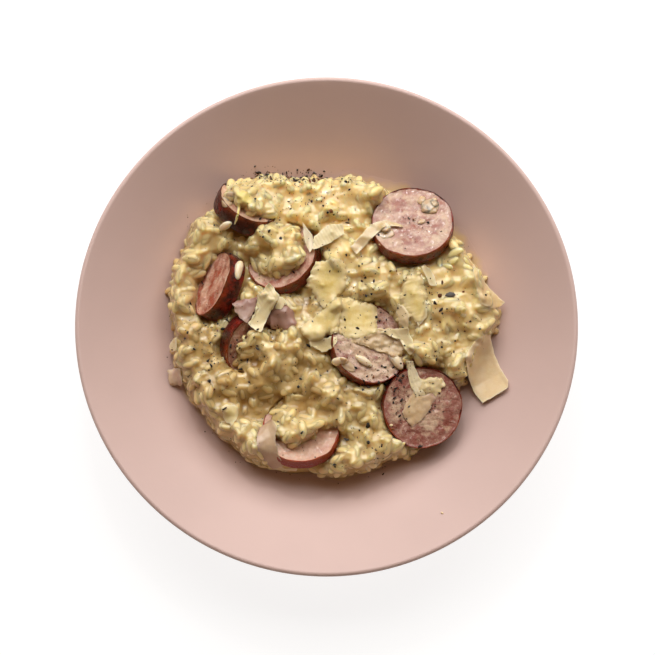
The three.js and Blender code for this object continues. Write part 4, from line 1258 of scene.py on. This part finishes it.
def flake_template():
    """An octahedron with each side cut in four, on the unit ball: 18 points, 32 faces."""
    corners = np.array([[1, 0, 0], [-1, 0, 0], [0, 1, 0], [0, -1, 0], [0, 0, 1], [0, 0, -1]], float)
    points, faces, known = list(corners), [], {}

    def between(a, b):
        key = (min(a, b), max(a, b))
        if key not in known:
            middle = points[a] + points[b]
            known[key] = len(points)
            points.append(middle / np.linalg.norm(middle))
        return known[key]

    for sx, sy, sz in np.ndindex(2, 2, 2):
        a, b, c = sx, 2 + sy, 4 + sz
        if (sx + sy + sz) % 2:
            b, c = c, b
        ab, bc, ca = between(a, b), between(b, c), between(c, a)
        faces += [(a, ab, ca), (b, bc, ab), (c, ca, bc), (ab, bc, ca)]
    return np.array(points), np.array(faces)


def scatter(places, sizes, flat, rough, rng):
    """Cracked flakes as one mesh: each is the ball template with its points pushed in and out,
    stretched, turned at random and set on the food's top."""
    base, faces = flake_template()
    count = len(places)
    shape = base[None] * rng.uniform(1 - rough, 1 + rough, (count, len(base), 1))
    spans = ((0.8, 1.7), (0.55, 1), flat)
    stretch = np.stack([rng.uniform(*span, count) for span in spans], -1)
    shape = shape * stretch[:, None] * (sizes / 2)[:, None, None]
    turn, tip = rng.uniform(0, math.tau, count), rng.normal(0, 0.35, count)
    c, s, ct, st = (f[:, None] for f in (np.cos(turn), np.sin(turn), np.cos(tip), np.sin(tip)))
    x, y, z = shape[..., 0], shape[..., 1], shape[..., 2]
    y, z = y * ct - z * st, y * st + z * ct
    points = np.stack([x * c - y * s, x * s + y * c, z], -1)
    ground = sample(landscape["top"], places[:, 0], places[:, 1]) + sizes * 0.12
    points += np.column_stack([places, ground])[:, None]
    return points.reshape(-1, 3), [repeated(faces, count, len(base))], len(base)


def film_surface(sides=480, steps=12, inside=2.5):
    """A thin closed ring of cream on the plate round the heap: its section starts inside the heap's
    outline, runs out along the plate, and back over a top that thins to nothing at its wavy edge."""
    rng = np.random.default_rng(3)
    angle = np.arange(sides) * math.tau / sides
    places = np.arange(len(FILM_REACH) + 1) * math.tau / len(FILM_REACH)
    far = np.interp(angle, places, np.append(FILM_REACH, FILM_REACH[0]))
    far = far * (1 + 0.35 * ring_waves(angle, 40, rng, 14, 3))
    share = 1 - np.linspace(1, 0, steps) ** 2.2
    share = np.concatenate([share, share[::-1][1:]])[:, None]
    back = (np.arange(len(share)) >= steps)[:, None]
    radius = heap_reach(angle)[None] - inside + (far[None] + inside) * share
    x, y = HEAP_MIDDLE[0] + radius * np.cos(angle), HEAP_MIDDLE[1] + radius * np.sin(angle)
    depth = 0.5 * (1 - share) ** 1.5 + 0.025
    z = plate_top(np.hypot(x, y)) + np.where(back, depth, 0.015)
    rows = len(share)
    k = np.arange(sides)
    last = (rows - 1) * sides
    seam = np.stack([last + k, last + (k + 1) % sides, (k + 1) % sides, k], -1)
    faces = np.concatenate([grid_faces(rows, sides, wrap=True), seam])
    thin = np.broadcast_to(share, (rows, sides)).ravel() ** 1.5
    return np.stack([x, y, z], -1).reshape(-1, 3), [faces], thin


# ---------------------------------------------------------------- operators


class RISOTTO_OT_plate(bpy.types.Operator):
    """Turns the glazed coupe plate"""

    bl_idname = "risotto.plate"
    bl_label = "Plate"

    def execute(self, context):
        settings = context.scene.risotto_plate
        profile = plate_profile(settings.radius / MM, settings.height / MM)
        points, faces = lathe(profile, PLATE_SEGMENTS)
        new_piece("plate_glazed", points, faces, glaze_paint(settings), ["plate"])
        return {"FINISHED"}


class RISOTTO_OT_rice(bpy.types.Operator):
    """Lays the rice grains and pours the cream round them"""

    bl_idname = "risotto.rice"
    bl_label = "Rice and cream"

    def execute(self, context):
        settings = context.scene.risotto_rice
        rng = np.random.default_rng(settings.seed + 1)
        deep = settings.deep
        cream = rice_paint("risotto cream", settings.cream, deep, 0.26, 6.0)
        cooked = rice_paint("cooked rice", settings.grain, deep, 0.3, 3.2)
        clear = rice_paint("clear rice", settings.bare, deep, 0.26, 2.6)
        wet = rice_paint("translucent cream", settings.thin, deep, 0.22, 2.0)
        rim, top, lone = plant_rice(settings)
        points, faces = cream_surface()
        pale = np.clip(sample(landscape["chunk"], points[:, 0], points[:, 1]), 0, 1)
        # Painted shade: ochre in hollows (partly deeper cream) and the painted light and shade patches.
        attributes = {"hollow_shade": depth_and_shade(points) * (1 - 0.6 * pale), "tint": pale}
        new_piece("risotto_cream", points, faces, cream, ["risotto"], attributes)
        groups = ("rice_rim", rim, cooked), ("rice_top", top, cooked), ("rice_lone", lone, clear)
        for name, rows, look in groups:
            for start in range(0, len(rows), GRAINS_A_PIECE):
                points, faces, tint = grain_mesh(rows[start:start + GRAINS_A_PIECE], rng)
                # The grains get the same painted shade and light as the cream.
                attributes = {"hollow_shade": depth_and_shade(points), "tint": tint}
                number = f"_{start // GRAINS_A_PIECE + 1}" if len(rows) > GRAINS_A_PIECE else ""
                new_piece(name + number, points, faces, look, (), attributes)
        points, faces = dollop_surface(rng)
        plain = np.zeros(len(points))
        new_piece("cream_dollops", points, faces, wet, (), {"hollow_shade": plain, "tint": plain})
        return {"FINISHED"}


class RISOTTO_OT_sausage(bpy.types.Operator):
    """Cuts the slices of smoked sausage"""

    bl_idname = "risotto.sausage"
    bl_label = "Sausage slices"

    def execute(self, context):
        look = meat_paint(context.scene.risotto_sausage)
        for index, cut in enumerate(SLICES, 1):
            points, faces, (casing, rim, smear, streak) = slice_surface(cut, index)
            deep = cut["streaks"] * np.clip(-streak, 0, 1.5)[:, None] * np.array([0.14, 0.3, 0.34])
            attributes = {
                "tint": np.array(cut["tint"]) * (1 + 0.1 * np.clip(streak, 0, 2)[:, None]) * (1 - deep),
                "fat": cut["fat"] + 0.35 * np.clip(streak, -0.5, 1.5),
                "skin": casing,
                "rim": rim,
                "smear": cut["smear"] * 0.6 + smear,
                "warm": np.full(len(points), cut["warm"]),
            }
            node = f"sausage_slice_{index}"
            new_piece(f"cut_sausage_{index}", points, faces, look, [node], attributes)
        return {"FINISHED"}


class RISOTTO_OT_cheese(bpy.types.Operator):
    """Lays the scraps and shavings of cheese on the food"""

    bl_idname = "risotto.cheese"
    bl_label = "Cheese"

    def execute(self, context):
        settings = context.scene.risotto_cheese
        rng = np.random.default_rng(settings.seed)
        look = cheese_paint(settings)
        sheets = [(f"cheese_scrap_{k}", (), sheet) for k, sheet in enumerate(SCRAPS, 1)]
        sheets += [(f"cheese_{k}", [f"cheese_shaving_{k}"], sheet) for k, sheet in enumerate(SHAVINGS, 1)]
        for name, nodes, sheet in sheets:
            points, faces, attributes = cheese_sheet(sheet, settings.thickness / MM, rng)
            new_piece(name, points, faces, look, nodes, attributes)
        return {"FINISHED"}


class RISOTTO_OT_pepper(bpy.types.Operator):
    """Strews cracked pepper and crumbs, and runs a film of cream out on the plate"""

    bl_idname = "risotto.pepper"
    bl_label = "Pepper, crumbs and cream film"

    def execute(self, context):
        scene = context.scene
        settings = scene.risotto_pepper
        rng = np.random.default_rng(settings.seed)
        look = spice_paint("cracked pepper")
        places = [rng.normal(0, 1, (int(n), 2)) * (sx, sy) + (x, y) for x, y, sx, sy, n in PEPPER_DRIFTS]
        places = np.concatenate(places)
        places = places[heap_share(places[:, 0], places[:, 1]) < 1.07]
        sizes = np.clip(rng.lognormal(0, 0.42, len(places)), 0.4, 2.2) * settings.size / MM
        places = np.concatenate([places, PEPPER_FLAKES[:, :2]])
        sizes = np.concatenate([sizes, PEPPER_FLAKES[:, 2]])
        self.strew("pepper_coarse", places, sizes, (0.35, 0.8), settings, (0.78, 0.93), look, rng)
        wide = rng.normal(0, 1, (settings.dust, 2)) * 44
        near = places[rng.integers(0, len(places), settings.dust)] + rng.normal(0, 3.5, (settings.dust, 2))
        dust = np.where(rng.uniform(0, 1, settings.dust)[:, None] < 0.6, near, wide)
        dust = dust[heap_share(dust[:, 0], dust[:, 1]) < 1.06]
        sizes = rng.uniform(0.28, 0.6, len(dust))
        self.strew("pepper_dust", dust, sizes, (0.5, 0.9), settings, (0.4, 0.97), look, rng)

        points, faces, _ = scatter(CRUMBS[:, :2], CRUMBS[:, 2], (0.6, 0.9), 0.15, rng)
        tint = np.tile(settings.crumb, (len(points), 1))
        new_piece("crumbs", points, faces, spice_paint("crumbs"), (), {"tint": tint})

        points, faces, thin = film_surface()
        film = film_paint(scene.risotto_rice.cream, scene.risotto_plate.glaze)
        new_piece("cream_film", points, faces, film, (), {"thin": thin})
        return {"FINISHED"}

    def strew(self, name, places, sizes, flat, settings, shares, look, rng):
        """One mesh of flakes: up to the first share black, up to the second brown, the rest grey."""
        points, faces, each = scatter(places, sizes, flat, 0.3, rng)
        draw = rng.uniform(0, 1, len(places))[:, None]
        black, brown, grey = (np.array(c) for c in (settings.black, settings.brown, settings.grey))
        tint = np.where(draw < shares[0], black, np.where(draw < shares[1], brown, grey))
        tint = tint * rng.uniform(0.5, 1.3, (len(places), 1))
        new_piece(name, points, faces, look, (), {"tint": np.repeat(tint, each, 0)})


FLOOR_HALF, FLOOR_DROP = 3.0, 0.0002  # metres
CAMERA_TARGET, LAMP_TARGET = Vector((0.00047, 0.00002, 0.02)), Vector((0, 0, 0.02))
ROOM_COLOUR = (1, 0.66, 0.38, 1)


def area_light(name, place, size, watts):
    """A rectangular light that looks at the food."""
    light = bpy.data.lights.new(name, "AREA")
    light.shape = "RECTANGLE"
    light.size, light.size_y = size
    light.energy = watts
    lamp = bpy.data.objects.new(name, light)
    lamp.location = place
    lamp.rotation_euler = (LAMP_TARGET - lamp.location).to_track_quat("-Z", "Y").to_euler()
    bpy.context.scene.collection.objects.link(lamp)


class RISOTTO_OT_stage(bpy.types.Operator):
    """Sets the pale floor, the soft window light and the camera above the plate"""

    bl_idname = "risotto.stage"
    bl_label = "Floor, light and camera"

    def execute(self, context):
        settings = context.scene.risotto_stage
        scene = context.scene
        mesh = bpy.data.meshes.new("floor")
        signs = ((-1, -1), (1, -1), (1, 1), (-1, 1))
        corners = [(x * FLOOR_HALF, y * FLOOR_HALF, -FLOOR_DROP) for x, y in signs]
        mesh.from_pydata(corners, [], [(0, 1, 2, 3)])
        floor = bpy.data.objects.new("floor", mesh)
        paint = Paint("pale floor", Roughness=0.9, Base_Color=(0.26, 0.26, 0.26), Emission_Strength=0.83)
        paint.shader.inputs["Emission Color"].default_value = (1, 1, 1, 1)
        mesh.materials.append(paint.material)
        scene.collection.objects.link(floor)

        world = bpy.data.worlds.new("room")
        world.use_nodes = True
        sky = world.node_tree.nodes["Background"].inputs
        sky["Color"].default_value = ROOM_COLOUR
        sky["Strength"].default_value = settings.fill
        scene.world = world
        area_light("window", (0.05, 1.15, 1.11), (2.4, 1.4), settings.key)
        area_light("glint", (-0.12, 1.15, 1.2), (0.17, 0.17), settings.glint)

        data = bpy.data.cameras.new("camera")
        data.sensor_width = 36
        data.lens = settings.lens
        data.clip_start, data.clip_end = 0.05, 20
        camera = bpy.data.objects.new("camera", data)
        back = Vector((0, -math.cos(settings.elevation), math.sin(settings.elevation)))
        camera.location = CAMERA_TARGET + back * settings.distance
        camera.rotation_euler = (-back).to_track_quat("-Z", "Y").to_euler()
        scene.collection.objects.link(camera)
        scene.camera = camera
        scene.view_settings.view_transform = "Standard"
        return {"FINISHED"}


class RISOTTO_PT_panel(bpy.types.Panel):
    """Lists the pieces of the plate of risotto"""

    bl_idname = "RISOTTO_PT_panel"
    bl_label = "Sausage Risotto"
    bl_space_type = "VIEW_3D"
    bl_region_type = "UI"
    bl_category = "Risotto"

    def draw(self, context):
        for group, _, operator in STEPS:
            box = self.layout.box()
            box.operator(operator.bl_idname)
            settings = getattr(context.scene, group)
            for key in settings.__annotations__:
                box.prop(settings, key)


STEPS = (
    ("risotto_plate", PlateSettings, RISOTTO_OT_plate),
    ("risotto_rice", RiceSettings, RISOTTO_OT_rice),
    ("risotto_sausage", SausageSettings, RISOTTO_OT_sausage),
    ("risotto_cheese", CheeseSettings, RISOTTO_OT_cheese),
    ("risotto_pepper", PepperSettings, RISOTTO_OT_pepper),
    ("risotto_stage", StageSettings, RISOTTO_OT_stage),
)
CLASSES = [cls for step in STEPS for cls in step[1:]] + [RISOTTO_PT_panel]


def register():
    for cls in CLASSES:
        bpy.utils.register_class(cls)
    for name, group, _ in STEPS:
        setattr(bpy.types.Scene, name, PointerProperty(type=group))


def unregister():
    for name, _, _ in STEPS:
        delattr(bpy.types.Scene, name)
    for cls in reversed(CLASSES):
        bpy.utils.unregister_class(cls)


def main():
    register()
    bpy.ops.risotto.plate()
    bpy.ops.risotto.rice()
    bpy.ops.risotto.sausage()
    bpy.ops.risotto.cheese()
    bpy.ops.risotto.pepper()
    bpy.ops.risotto.stage()


if __name__ == "__main__":
    main()
